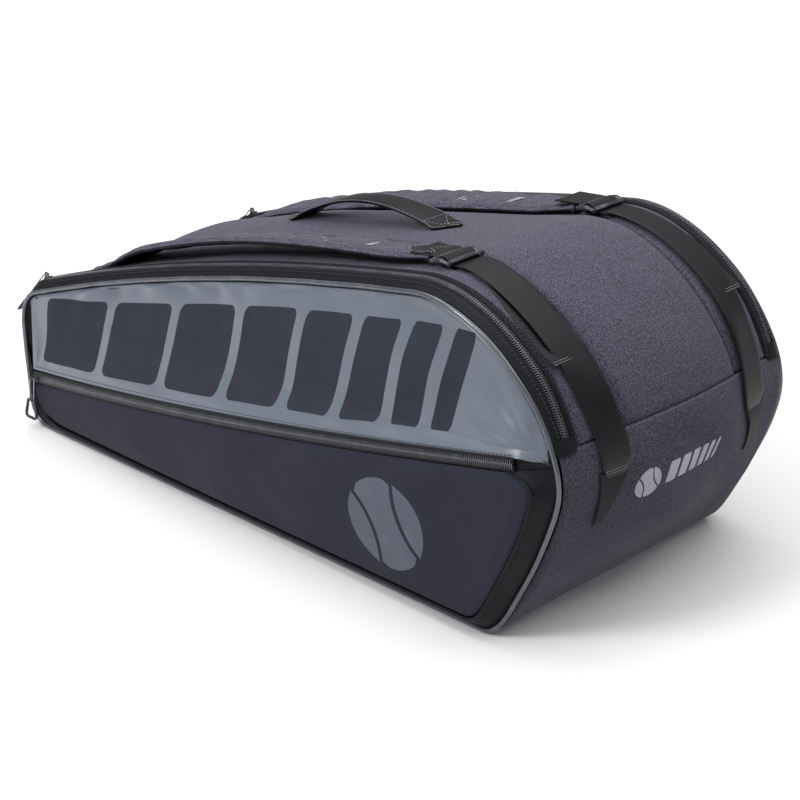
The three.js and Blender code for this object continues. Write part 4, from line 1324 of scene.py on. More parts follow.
# ---------------------------------------------------------------- one side of the bag
@dataclass
class SidePanel:
    """The coated side panel over the pocket zip, with its piping and its printed blocks; its two fields meet along a
    straight fold line."""

    side: int
    name: str
    thickness: float = 3.2
    bend_half: float = 9.0
    piping: float = 2.4

    def bend(self, piece: bpy.types.Object, slot: str, stands_for: Sequence[str] = ()) -> None:
        """Hides the frame's solids that a piece stands for and bakes its place into its points."""
        f = FORM
        way = unit(np.array([f.fold_b[0] - f.fold_a[0], 0, f.fold_b[1] - f.fold_a[1]]))
        dress(piece, None, stands_for)
        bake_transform(piece)

    def surface(self) -> Sheet:
        """The outer face: two fields that meet at the fold, puckered under the piping."""
        f, u = FORM, rows(300, 0.008)
        low_v, high_v = rows(24, 0.06)[:-3], np.linspace(0, 1, 62)
        up = f.tape + 1.0
        start = np.array(f.pocket_zip(np.array(0.004), up))
        last = f.edge(np.array(f.near(375, 192, f.fold_t1, f.floor_end)), f.half_depth, 7.5)
        bottom = np.where((u < 0.972)[:, None], f.pocket_zip(mix(0.004, 1, np.minimum(u / 0.972, 1)), up),
                          mix(np.array(f.pocket_zip(np.array(1.0), up)), last,
                              np.clip((u - 0.972) / 0.028, 0, 1)[:, None]))
        fold = f.fold(u)
        fold[:, 1] = np.maximum(fold[:, 1], bottom[:, 1] - np.maximum(fold[:, 2] - bottom[:, 2], 0) * 0.75)
        lower = coons(bottom, fold, mix(start, fold[0], low_v[:, None]), mix(last, fold[-1], low_v[:, None]),
                      u, low_v)
        top = f.edge(f.spread(f.fold_t0 + 0.012, f.fold_t1 - 0.012)(u), f.half_depth, f.inset - 2.2)
        left = f.edge(mix(f.fold_t0 + 0.0003, f.fold_t0 + 0.012, high_v), f.half_depth, f.inset - 1.5)
        right = f.edge(mix(f.fold_t1 - 0.0003, f.fold_t1 - 0.012, high_v), f.half_depth, f.inset - 1.5)
        upper = coons(fold, top, left, right, u, high_v)
        upper[..., 1] += 3 * np.sin(math.pi * u)[:, None] * np.sin(math.pi * high_v)[None, :]
        lower[..., 1] += np.sin(math.pi * u)[:, None] * np.sin(math.pi * low_v)[None, :]
        grid = np.concatenate([lower, upper], axis=1)
        for _ in range(40):
            inside = grid[1:-1, 1:-1, 1]
            grid[1:-1, 1:-1, 1] = (2 * inside + grid[1:-1, :-2, 1] + grid[1:-1, 2:, 1] + grid[:-2, 1:-1, 1]
                                   + grid[2:, 1:-1, 1]) / 6
        grid[..., 1] *= self.side
        sheet = Sheet(f"{self.name}_side_panel", grid, self.thickness, "satin_coated_polyester",
                      "lining_polyester")
        return sheet.raise_by(self.wrinkles(grid)).rounded(3.0)

    def wrinkles(self, grid: Array) -> Array:
        """Height of the folds: soft puckers under the piping, and creases in the low wide corner.

        Args:
            grid: the panel's points.

        Returns:
            Heights in mm.
        """
        x, z = grid[..., 0], grid[..., 2]
        run = run_of(grid, 1)
        drop = run[:, -1:] - run
        reach = 26 + 16 * ripple(x, 0 * x, 160, 31)
        pull = np.exp(-(drop / np.maximum(reach, 10))**1.4) * (1 - np.exp(-drop / 5))
        share = ramp(x, -335, -240) * mix(1, 0.35, ramp(x, -60, 60)) * ramp(-x, -230, -120)
        lean = x + 0.35 * drop * np.sin(x / 70)
        pucker = (np.sin(lean / 8.3) + 0.8 * np.sin(lean / 13.7 + 1.1) + 0.9 * np.sin(lean / 21.0 + 2.0))
        slow = 1.5 * ripple(x, z * 1.4, 150, 33) + 0.5 * ripple(x, z, 62, 34)
        corner_x, corner_z = x - 352, z - 196
        angle, far = np.arctan2(corner_z, -corner_x), np.hypot(corner_x, corner_z)
        crease = np.sin(angle * 13 + 0.6) * np.exp(-((far - 46) / 34)**2) * ramp(angle, -0.2, 0.15)
        heel_x, heel_z = x + 352, z - 66
        heel = np.sin(np.arctan2(heel_z, heel_x) * 9) * np.exp(-((np.hypot(heel_x, heel_z) - 22) / 18)**2)
        calm = ramp(edge_gap(grid), 0, 14) * mix(1, 0.25, ramp(x, 318, 345) * ramp(-z, -222, -206))
        return calm * (3.2 * pucker * pull * share + slow + 0.8 * crease + 0.9 * heel)

    def build(self) -> None:
        """Makes the panel, its piping, its stitches and its prints."""
        name = self.name
        sheet = self.surface()
        panel = sheet.build()
        self.bend(panel, "coated_fabric", [f"{name}_panel_upper", f"{name}_panel_lower"])
        self.edge_piping()
        seam = stitches(f"{name}_side_panel_stitches",
                        [on_sheet(sheet, np.linspace(0.01, 0.965, 300), 0.035)])
        self.bend(seam, "coated_fabric")
        self.prints(sheet)
        LOG.info("%s side panel built", name)

    def edge_piping(self) -> None:
        """The round piping all along the side outline."""
        t = FORM.spread(0.0, 1.0)(np.linspace(0, 1, 421))[:-1]
        sway = 0.35 * np.sin(2 * math.pi * t * 23) + 0.25 * np.sin(2 * math.pi * t * 9 + 1)
        path = FORM.edge(t, FORM.half_depth + 0.7, 2.4)
        path[:, 1] = (path[:, 1] + sway * ramp(path[:, 2], 30, 90)) * self.side
        path[:, 2] = np.maximum(path[:, 2], self.piping + 0.1)
        verts, faces = tube(path, self.piping, 12, closed=True)
        piece = make_piece(f"{self.name}_side_piping", verts, faces, ["coated_piping"])
        self.bend(piece, "piping", [f"{self.name}_upper_piping", f"{self.name}_lower_piping"])
        # the piping's flange, sewn in behind the edge of the panel
        v = rows(10, 0.08)[None, :]
        t = FORM.spread(0.0, 1.0)(np.linspace(0, 1, 261))[:, None] + 0 * v
        depth = FORM.half_depth - 1.0 - 4.2 * ramp(v, 0, 0.3) + 0 * t
        grid = FORM.edge(t, depth, mix(2.4, 17.0, v) + 0 * t) * np.array([1, self.side, 1])
        flange = Sheet(f"{self.name}_side_piping_flange", grid, 0.8, "smooth_nylon")
        self.bend(flange.build(), "piping")

    def prints(self, sheet: Sheet) -> None:
        """A row of slanted solid blocks that get narrower towards the wide end."""
        x, gap, lean = -338.0, 14.0, 16.0
        for k, width in enumerate((100, 92, 82, 70, 57, 45, 33, 22)):
            def spot(px: float, share: float) -> tuple[float, float]:
                """Place on the block's edge."""
                base = float(FORM.pocket_zip(np.array((px + 362) / 702), 21.0)[2])
                reach = mix(76, 98, ramp(px, -330, 60)) - 30 * max(0.0, (px - 190) / 150)**2
                return px + lean * share, base + reach * share
            corners = [spot(x, 0), spot(x + width, 0), spot(x, 1), spot(x + width, 1)]
            made = patch(sheet, f"{self.name}_side_block_{k}", corners, "dark_ink",
                         corner=min(0.10, 9 / width), n=max(8, width // 4), m=30, axes=(0, 2))
            self.bend(made.build(), "coated_fabric")
            x += width + gap


@dataclass
class SidePocket:
    """The flat pocket under the side panel: a twill front with a welt, a smooth wall that joins it to
    the piping, and a lining behind."""

    side: int
    name: str
    fabric: float = 2.4

    def edge_path(self, inset: float, count: int = 260) -> Array:
        """Edge of the front from the wide end of the zip round the heel to the narrow end and up."""
        f = FORM
        welt = f.welt(np.linspace(0.035, 0.985, count), inset)
        first = np.array([f.pocket_zip(np.array(0.982), -f.tape - 0.8)])
        foot = np.array([[-352.0 - 9 + inset * 0.4, 165.0, 34.0]])
        start = np.array([np.array(f.pocket_zip(np.array(0.004), -f.tape - 0.4))])
        corner = np.array([[mix(welt[-1, 0], foot[0, 0], 0.62), 165.0, mix(welt[-1, 2], foot[0, 2], 0.30)]])
        raw = np.concatenate([first, welt, corner, foot, mix(foot, start, 0.5), start])
        return softened(evenly(raw, count + 60), 12)

    def front(self) -> Sheet:
        """The padded front between the zip and the welt."""
        f = FORM
        edge = self.edge_path(3.0)
        run = travel(edge)
        heel = run[np.argmin(np.hypot(edge[:, 0] - 283, edge[:, 2] - 12))]
        foot = run[np.argmin(np.hypot(edge[:, 0] + 352, edge[:, 2] - 26))]
        u, v = rows(230, 0.01), rows(70, 0.02)
        bottom = at_run(run, edge, mix(foot, heel, u))
        right = at_run(run, edge, mix(heel, 0.0, v))
        left = at_run(run, edge, mix(foot, run[-1], v))
        top = np.array(f.pocket_zip(mix(0.004, 0.982, u), -f.tape - 0.8))
        left = mix(left, top[0], v[:, None]**3)
        bottom[0], bottom[-1], right[0], right[-1], left[0], left[-1] = (
            left[0], right[0], bottom[-1], top[-1], left[0], top[0])
        grid = coons(bottom, top, left, right, u, v)
        gap = edge_gap(grid)
        grid[..., 1] += 5 * np.sin(math.pi * u)[:, None] * np.sin(math.pi * v)[None, :]
        x, z = grid[..., 0], grid[..., 2]
        grid[..., 1] *= self.side
        height = (1.3 * ripple(x, z * 1.3, 170, 41) + 0.45 * ripple(x, z, 58, 42)) * ramp(gap, 0, 30)
        height += 1.6 * (1 - np.exp(-gap / 7)) - 1.0
        sheet = Sheet(f"{self.name}_pocket_front_twill", grid, self.fabric, "twill_polyester",
                      "lining_polyester")
        return sheet.raise_by(height).rounded()

    def build(self) -> None:
        """Makes the pocket's pieces."""
        name, flap = self.name, f"{self.name}_pocket_flap"
        front = self.front()
        piece = dress(front.build(), flap, [f"{name}_pocket_front"])
        rows_of = [on_sheet(front, np.linspace(0.01, 0.99, 300), 0.955),
                   on_sheet(front, 0.975, np.linspace(0.06, 0.9, 90))]
        dress(stitches(f"{name}_pocket_stitches", rows_of), flap)
        mirror = np.array([1, self.side, 1])
        path = self.edge_path(0.8)
        verts, faces = tube(path * mirror, 1.6, 10)
        dress(make_piece(f"{name}_pocket_welt_cord", verts, faces, ["smooth_nylon"]), flap,
              [f"{name}_pocket_welt"])
        self.wall(path, mirror)
        self.back(mirror)
        ball(front, f"{name}_pocket_ball_print", (192.0, 82.0), (46.0, 46.0), "grey_ink",
             flap)
        self.corner(mirror)
        LOG.info("%s pocket built", name)

    def wall(self, path: Array, mirror: Array) -> None:
        """The smooth nylon between the welt and the piping, with a soft fold along it."""
        f = FORM
        t = f.spread(f.welt_start, 1.0)(np.linspace(0, 0.985, 260))
        inner_path = f.edge(t, f.half_depth + 0.4, 4.6)
        tail_t = f.spread(0.0, f.near(-374, 92, 0, 0.3))(np.linspace(0.02, 1, 60))
        inner_path = np.concatenate([inner_path, f.edge(tail_t, f.half_depth + 0.4, 4.6)])
        inner = evenly(inner_path, len(path))
        ends = ramp(np.linspace(0, 1, len(path)), 0.90, 1.0)[:, None]
        v = rows(12, 0.08)
        grid = mix(inner[:, None], path[:, None], v[None, :, None])
        bulge = np.sin(math.pi * v)[None, :] * (1 - ends)
        grid[..., 1] += 2.2 * bulge + 0.9 * bulge * ripple(grid[..., 0], grid[..., 2], 70, 44)
        sheet = Sheet(f"{self.name}_pocket_wall_nylon", grid * mirror, 1.4, "smooth_nylon")
        piece = dress(sheet.build(), None, [f"{self.name}_pocket_wall"])
        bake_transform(piece)

    def corner(self, mirror: Array) -> None:
        """The black nylon between the wide end of the pocket's zip and the piping."""
        f, u, v = FORM, rows(20, 0.04), rows(12, 0.08)
        inner_low, inner_high = (np.array(f.pocket_zip(np.array(0.984), up, out))
                                 for up, out in ((-9.0, -1.6), (8.0, -4.5)))
        outer_low, outer_high = (f.edge(np.array(f.near(375, z, f.fold_t1, f.floor_end)), f.half_depth, 5.0)
                                 for z in (176, 196))
        grid = mix(mix(inner_low, outer_low, u[:, None, None]), mix(inner_high, outer_high, u[:, None, None]),
                   v[None, :, None])
        grid[..., 1] += 0.6 * np.sin(math.pi * u)[:, None]
        sheet = Sheet(f"{self.name}_pocket_corner_nylon", grid * mirror, 1.2, "smooth_nylon")
        dress(sheet.build(), BODY)

    def back(self, mirror: Array) -> None:
        """The lining between the pocket and the racket compartment."""
        f, u, v = FORM, rows(90, 0.01), rows(40, 0.02)
        flat = lambda p: p * np.array([1, 0, 1]) + np.array([0, 151.0, 0])
        bottom = f.edge(mix(0.993, f.floor_end + 0.006, u), 151, 9)
        top = flat(f.fold(u, -4.0))
        left = f.edge(mix(0.004, f.fold_t0, v), 151, 9)
        right = f.edge(mix(f.floor_end - 0.003, f.fold_t1, v), 151, 9)
        left[-1], right[-1], left[0], right[0] = top[0], top[-1], bottom[0], bottom[-1]
        grid = coons(bottom, top, left, right, u, v)
        grid[..., 1] += 0.9 * ripple(grid[..., 0], grid[..., 2], 160, 47) * ramp(edge_gap(grid), 0, 25)
        sheet = Sheet(f"{self.name}_pocket_back_lining", grid * mirror, 1.2, "lining_polyester")
        piece = dress(sheet.build(), BODY, [f"{self.name}_pocket_back"])


@dataclass
class GussetBand:
    """The band between the crease seam and the main zip, with the nylon strips that edge the zip."""

    side: int
    name: str

    def strip(self, word: str, y: Array, lift: Array, finish: str, body: str, thickness: float,
              stands_for: Sequence[str] = (), swell: float = 0.0, count: int = 210) -> Sheet:
        """A strip that runs with the gusset from the narrow end to the wide end.

        Args:
            word: what it is called after the side's name.
            y: depths across it.
            lift: how far it stands over the gusset, at each depth.
            finish: its finish.
            body: what it rides on.
            thickness: its thickness.
            stands_for: the frame's solids that it replaces.
            swell: height of its padding's swell.
            count: rows along it.

        Returns:
            The sheet.
        """
        f = FORM
        t = f.spread(f.narrow_seam + 0.0004, f.wide_seam - 0.0004)(rows(count, 0.006))
        grid = f.gusset(t[:, None], y[None, :], lift[None, :])
        grid[..., 1] *= self.side
        sheet = Sheet(f"{self.name}_{word}", grid, thickness, finish)
        if swell:
            sides = edge_gap(grid, False, True)
            wave = (ripple(grid[..., 0], grid[..., 1], 95, 61)
                    + 0.3 * ripple(grid[..., 0], grid[..., 1], 34, 62))
            sheet.raise_by(swell * wave * ramp(sides, 0, 20) - 2.4 * np.exp(-(sides / 5)**2))
        sheet.rounded(1.6)
        dress(sheet.build(), body, stands_for)
        return sheet

    def build(self) -> None:
        """Makes the band and the two strips."""
        f = FORM
        y = mix(f.crease + 0.2, f.zip_line - f.tape - 0.4, rows(24, 0.04))
        self.strip("band_fabric", y, 0 * y, "melange_polyester", BODY, 2.4,
                   [f"{self.name}_gusset_band"], 0.5)
        y = mix(f.zip_line - f.tape - 6.2, f.zip_line - 5.2, rows(6, 0.12))
        share = rows(6, 0.12)
        lip = self.strip("zip_lip_nylon", y, 0.3 + 1.0 * share + 1.4 * np.sin(math.pi * share), "smooth_nylon", BODY,
                         0.9)
        share = rows(8, 0.10)
        y = mix(f.zip_line + 5.2, f.half_depth - 0.6, share)
        edge = self.strip("zip_edge_nylon", y, 1.1 + 0.6 * np.sin(math.pi * share) - 1.6 * share**3, "smooth_nylon",
                          f"{self.name}_side_flap", 0.9)
        t = mix(f.wide_seam - 0.006, f.wide_seam + 0.0015, rows(8, 0.1))[:, None]
        grid = f.gusset(t, mix(f.zip_line - 9, f.half_depth - 1, share)[None, :],
                        (0.6 + 2.6 * np.sin(math.pi * share)**0.6)[None, :])
        grid[..., 1] *= self.side
        stop = Sheet(f"{self.name}_zip_end_nylon", grid, 0.8, "smooth_nylon")
        dress(stop.build(), BODY)
        line = np.linspace(0.01, 0.99, 420)
        dress(stitches(f"{self.name}_zip_lip_stitches", [on_sheet(lip, line, 0.5)]), BODY)
        dress(stitches(f"{self.name}_zip_edge_stitches", [on_sheet(edge, line, 0.35)]),
              f"{self.name}_side_flap")
        LOG.info("%s gusset band built", self.name)


# ---------------------------------------------------------------- straps and handle
def puff(piece: bpy.types.Object, held: Callable[[Array], Array], pressure: float, cap: float,
         frames: int = 16) -> None:
    """Swells a closed fabric piece with cloth simulation and keeps the result.

    Args:
        piece: the piece, whose points stay in number and order.
        held: from points in mm, how firmly each is held, 0 to 1.
        pressure: the pressure inside.
        cap: how far a point may move, in mm.
        frames: how many frames are simulated.
    """
    mesh = piece.data
    rest = np.zeros(len(mesh.vertices) * 3, np.float32)
    mesh.vertices.foreach_get("co", rest)
    rest = rest.reshape(-1, 3).astype(float)
    weights = np.clip(held(rest / MM), 0, 1)
    group = piece.vertex_groups.new(name="held")
    for i in np.flatnonzero(weights > 0):
        group.add([int(i)], float(weights[i]), "REPLACE")
    cloth = piece.modifiers.new("Cloth", "CLOTH")
    s = cloth.settings
    s.quality, s.mass, s.use_pressure, s.uniform_pressure_force = 6, 0.15, True, pressure
    s.tension_stiffness = s.compression_stiffness = 12.0
    s.bending_stiffness, s.shrink_min, s.vertex_group_mass = 0.35, -0.018, "held"
    s.effector_weights.gravity = 0.0
    cloth.collision_settings.use_collision = False
    cloth.point_cache.frame_start, cloth.point_cache.frame_end = 1, frames
    scene = bpy.context.scene
    for number in range(1, frames + 1):
        scene.frame_set(number)
    evaluated = piece.evaluated_get(bpy.context.evaluated_depsgraph_get())
    out = np.zeros(len(mesh.vertices) * 3, np.float32)
    evaluated.data.vertices.foreach_get("co", out)
    move = out.reshape(-1, 3) - rest
    size = np.linalg.norm(move, axis=1, keepdims=True)
    move *= np.minimum(1.0, cap * MM / np.maximum(size, 1e-9))
    piece.modifiers.remove(cloth)
    piece.vertex_groups.clear()
    scene.frame_set(1)
    mesh.vertices.foreach_set("co", (rest + move).astype(np.float32).ravel())
    mesh.update()


@dataclass
class ShoulderStrap:
    """A padded strap over the top, its ladder buckle, and webbing that runs over the wide end."""

    side: int
    name: str
    inner: float = 71.0
    outer: float = 127.0
    narrow: float = -300.0
    wide: float = 184.0
    thickness: float = 6.5
    web_y: float = 100.0
    web: float = 34.0
    sink: float = 0.0

    def mirrored(self, grid: Array) -> Array:
        """Points set on this strap's side of the bag."""
        return grid * np.array([1, self.side, 1])

    def pad_sheet(self) -> Sheet:
        """The pad, arched clear of the bag, with a rolled edge."""
        f, u, v = FORM, rows(150, 0.012, 4), rows(20, 0.10, 4)
        x = mix(self.narrow, self.wide, u)[:, None]
        y = mix(self.inner, self.outer, v)[None, :]
        taper = ramp(x, self.wide - 46, self.wide) * 8 + ramp(-x, -self.narrow - 30, -self.narrow) * 5
        y = y - (y - self.web_y + 1) / 28 * taper
        t = f.over(x)
        own = f.rise(t + 0 * y, y + 0 * x)
        lifted = ramp(x, -298, -205)
        floor = mix(own, np.maximum(f.rise(t + 0 * y, self.inner + 0 * y), own), lifted)
        arch = np.sin(math.pi * np.clip((x - self.narrow) / 484, 0, 1))
        out = (y - self.inner) / (self.outer - self.inner)
        height = floor + self.thickness - 0.8 + mix(-2.6, 0, lifted) + (1 - self.sink) * lifted * (
            mix(2 + 3 * arch, 3.5 + 11 * arch, out))
        p = f.outline(t + 0 * y, -height)
        grid = self.mirrored(points(p[..., 0], y + 0 * x, p[..., 1]))
        gap = edge_gap(grid)
        lean = x + 0.7 * y
        crumple = ((0.7 * np.sin(lean / 4.4 + 2 * np.sin(x / 37)) + 0.5 * np.sin(lean / 7.9 + 1))
                   * np.exp(-gap / 9))
        sheet = Sheet(f"{self.name}_shoulder_pad_foam", grid, self.thickness - 1.6, "melange_polyester",
                      "smooth_nylon")
        return sheet.raise_by(crumple * ramp(gap, 0, 3)).rounded(7.0)

    def pad(self) -> None:
        """Makes the pad with its binding, stitches, end patches and small prints."""
        name, body = self.name, f"{self.name}_strap"
        sheet = self.pad_sheet()
        piece = sheet.build()
        n, m = sheet.grid.shape[:2]
        edge = np.zeros((n, m), bool)
        edge[[0, 1, -2, -1], :] = True
        edge[:, [0, 1, -2, -1]] = True
        held = np.concatenate([edge.ravel(), edge.ravel()]).astype(float)
        puff(piece, lambda p: held, 1.6, 2.2)
        dress(piece, body, [f"{name}_shoulder_pad"])
        middle = sheet.grid - normals_of(sheet.grid) * sheet.thickness * 0.5
        loop = np.concatenate([middle[:-1, 0], middle[-1, :-1], middle[:0:-1, -1], middle[0, :0:-1]])
        keep = np.concatenate([[True], np.linalg.norm(np.diff(loop, axis=0), axis=1) > 0.4])
        verts, faces = tube(loop[keep], 2.1, 10, closed=True)
        dress(make_piece(f"{name}_pad_binding", verts, faces, ["smooth_nylon"]), body)
        line = np.linspace(0.02, 0.98, 260)
        sewn = [on_sheet(sheet, line, v, 0.3) for v in (0.13, 0.87)]
        dress(stitches(f"{name}_pad_stitches", sewn), body)
        patch_u = [sheet.shares(x, FORM.top_height(x, 100), self.side * self.web_y)[0] for x in (142, 181)]
        tip = patch(sheet, f"{name}_pad_end_patch", [(patch_u[0], 0.20), (patch_u[1], 0.20),
                    (patch_u[0], 0.80), (patch_u[1], 0.80)], "polyester_webbing", 0, 1.2, 16, 12,
                    inner=lambda a, b: (a + (1 - a) * 0.36 * np.abs(2 * b - 1), b))
        dress(tip.build(), body)
        cross = [on_sheet(tip, np.linspace(0.08, 0.9, 30), np.linspace(a, b, 30))
                 for a, b in ((0.1, 0.1), (0.9, 0.9), (0.1, 0.9), (0.9, 0.1))]
        cross += [on_sheet(tip, u, np.linspace(0.1, 0.9, 30)) for u in (0.06, 0.93)]
        dress(stitches(f"{name}_pad_patch_stitches", cross, "pale_thread", 3.4, 2.2, 0.3), body)
        start = 0.615
        for k, width in enumerate((0.055, 0.045, 0.035, 0.025)):
            corners = [(start, 0.34), (start + width, 0.34),
                       (start + 0.012, 0.62), (start + width + 0.012, 0.62)]
            dress(patch(sheet, f"{name}_pad_bar_print_{k}", corners, "silver_ink", n=6, m=5).build(),
                  body)
            start += width + 0.012

    def strap_path(self, start: float, end: float, count: int, lift: Callable[[Array], Array]
                   ) -> tuple[Array, Callable[[Array, Array], Array]]:
        """The way of the webbing along the gusset.

        Args:
            start: share of the outline where it starts.
            end: share where it ends.
            count: rows along it.
            lift: height over the gusset at each share of its length.

        Returns:
            The shares of its length, and what places a point from the rows and a depth.
        """
        u = rows(count, 0.006)
        t = FORM.spread(start, end, 2400)(u)
        return u, lambda y, extra=0.0: FORM.gusset(t[:, None] + 0 * y, y, lift(u)[:, None] + extra)

    def webbing(self) -> None:
        """The webbing over the wide end, the loose tail under it, and the tab at its foot."""
        f, name, body = FORM, self.name, f"{self.name}_strap"
        top_t = f.near(0, 262)
        start, end = f.near(218, 305, top_t, f.wide_seam), f.near(375, 166, top_t, f.floor_end)
        u, place = self.strap_path(start, end, 130,
                                   lambda s: 4.6 + 1.2 * np.sin(math.pi * s)**2 - 1.5 * ramp(s, 0.9, 1))
        v = rows(14, 0.08)
        half = mix(self.web / 2, self.web / 2 - 5, ramp(u, 0.90, 1))[:, None]
        y = (self.web_y + mix(-half, half, v[None, :])
             + 8.0 * np.sin(math.pi * np.clip(u / 0.86, 0, 1))[:, None]**1.3)
        fold = 1.6 * np.exp(-((u[:, None] - 0.62) / 0.10)**2) * np.cos(math.pi * v[None, :])
        grid = self.mirrored(place(y, fold))
        strap = Sheet(f"{name}_strap_webbing_woven", grid, 1.3, "polyester_webbing")
        strap.raise_by(-0.35 * np.exp(-(edge_gap(grid, False, True) / 1.6)**2)).rounded(0.9)
        piece = dress(strap.build(), None, [f"{name}_strap_webbing"])
        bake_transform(piece)
        line = np.linspace(0.06, 0.94, 26)
        foot = [on_sheet(strap, 0.935, line), on_sheet(strap, 0.955, line)]
        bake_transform(dress(stitches(f"{name}_strap_foot_stitches", foot, "pale_thread", 2.8, 2.0, 0.3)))
        tail_end = f.near(334, 257, top_t, f.wide_seam)
        u, place = self.strap_path(start + 0.001, tail_end, 90, lambda s: 2.3 - 0.4 * np.sin(math.pi * s)
                                   + 2.6 * ramp(s, 0.86, 1))
        shift = 18.0 * ramp(u, 0.05, 0.75)[:, None]
        y = self.web_y + shift + mix(-15, 15, v[None, :])
        grid = self.mirrored(place(y, 2.0 * ramp(u, 0.8, 1)[:, None] * v[None, :]))
        tail = Sheet(f"{name}_strap_tail_woven", grid, 1.2, "polyester_webbing")
        tail.rounded(0.9)
        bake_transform(dress(tail.build(), None, [f"{name}_strap_tail"]))
        hem = [on_sheet(tail, 0.955, line), on_sheet(tail, 0.975, line)]
        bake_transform(dress(stitches(f"{name}_strap_tail_stitches", hem, "pale_thread", 2.8, 2.0, 0.3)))
        self.foot_tab(top_t)

    def foot_tab(self, top_t: float) -> None:
        """The folded nylon triangle that the webbing is sewn into, and the fold above it."""
        f = FORM
        t = f.spread(f.near(377, 172, top_t, f.floor_end), f.near(366, 122, top_t, f.floor_end))(rows(26, 0.03))
        s, v = rows(26, 0.03)[:, None], rows(12, 0.06)[None, :]
        y = mix(mix(84, 104, s), mix(119, 114, s), v)
        grid = self.mirrored(f.gusset(t[:, None] + 0 * y, y, 2.6 + 1.2 * np.sin(math.pi * s) * (1 - v)))
        tab = Sheet(f"{self.name}_anchor_tab_nylon", grid, 1.4, "smooth_nylon").rounded(1.2)
        dress(tab.build(), BODY, [f"{self.name}_anchor_tab"])

    def buckle(self) -> None:
        """The ladder buckle: two thick rails, three bars and a lip for the thumb."""
        name = self.name
        low, high = (np.array(c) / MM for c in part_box(f"{name}_buckle"))
        middle = (low + high) / 2
        tilt = math.radians(-3)
        cos, sin = math.cos(tilt), math.sin(tilt)

        def place(verts: Array) -> Array:
            """Moves points from the buckle's own axes to the bag."""
            x, y, z = verts[:, 0], verts[:, 1], verts[:, 2]
            return np.stack([middle[0] + x * cos + z * sin, middle[1] + y,
                             middle[2] - x * sin + z * cos], axis=1)

        parts = Fitting()
        for sign in (-1, 1):
            s = np.linspace(-1, 1, 25)
            rail = np.stack([s * 11.2, sign * (21.2 + 0.8 * np.cos(s * math.pi / 2)),
                             0.9 * np.cos(s * math.pi) + 0.5 * s], axis=1)
            parts.take(tube(rail, 2.5 + 0.5 * np.cos(s * math.pi * 1.5), 12, flat=0.95), place)
        for x, z, r, flat in ((-10.2, 0.0, 1.7, 1.0), (-1.6, 0.2, 1.9, 0.9), (9.6, 0.9, 2.1, 0.8)):
            y = np.linspace(-20.6, 20.6, 15)
            bar = np.stack([x + 0 * y, y, z + 0.3 * np.cos(y / 20 * math.pi / 2)], axis=1)
            parts.take(tube(bar, r, 12, flat=flat), place)
        block, faces = rounded_block((5.2, 41.0, 2.0), 0.8)
        parts.take((block, faces), lambda p: place(p + np.array([9.9, 0, 1.0])))
        for k in range(6):
            parts.take(rounded_block((3.6, 1.2, 0.8), 0.3, 2),
                       lambda p, k=k: place(p + np.array([10.0, -15 + k * 6, 2.1])))
        piece = parts.build(f"{name}_buckle_moulded", "moulded_acetal", 42)
        dress(piece, f"{name}_buckle", [f"{name}_buckle"])
        self.loops(place)

    def loops(self, place: Callable[[Array], Array]) -> None:
        """The webbing through the buckle, and the short loop that holds it to the pad.

        Args:
            place: what moves points from the buckle's own axes to the bag.
        """
        name, body = self.name, f"{self.name}_strap"
        v = rows(12, 0.08)
        y = mix(-17.5, 17.5, v)

        def band(word: str, route: Sequence[tuple[float, float]], thickness: float) -> Sheet:
            """A flat loop along a route in the buckle's axes."""
            path = softened(evenly(np.array(route, float), 60), 8)
            grid = np.stack([np.repeat(path[:, None, 0], len(y), 1), np.repeat(y[None], 60, 0),
                             np.repeat(path[:, None, 1], len(y), 1)], axis=-1)
            shape = grid.shape
            return Sheet(f"{name}_{word}", place(grid.reshape(-1, 3)).reshape(shape), thickness,
                         "polyester_webbing")

        through = band("buckle_webbing", [(27, -3.4), (16, -3.0), (6.5, -2.4), (4.4, 0.2), (1.6, 3.0), (-1.6, 3.6),
                                          (-4.6, 3.0), (-6.4, 0.2), (-6.0, -2.8), (-2, -4.6), (10, -5.6), (24, -6.2)],
                       1.2)
        piece = dress(through.build())
        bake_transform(piece)
        held = band("pad_loop", [(-40, 1.2), (-26, 1.6), (-16, 2.2), (-10.2, 2.6), (-7.6, 0.6), (-9.4, -2.4),
                                 (-16, -2.6), (-27, -2.8)], 1.2)
        piece = dress(held.build())
        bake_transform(piece)

    def build(self) -> None:
        """Makes the whole strap."""
        self.pad()
        self.webbing()
        self.buckle()
        LOG.info("%s shoulder strap built", self.name)


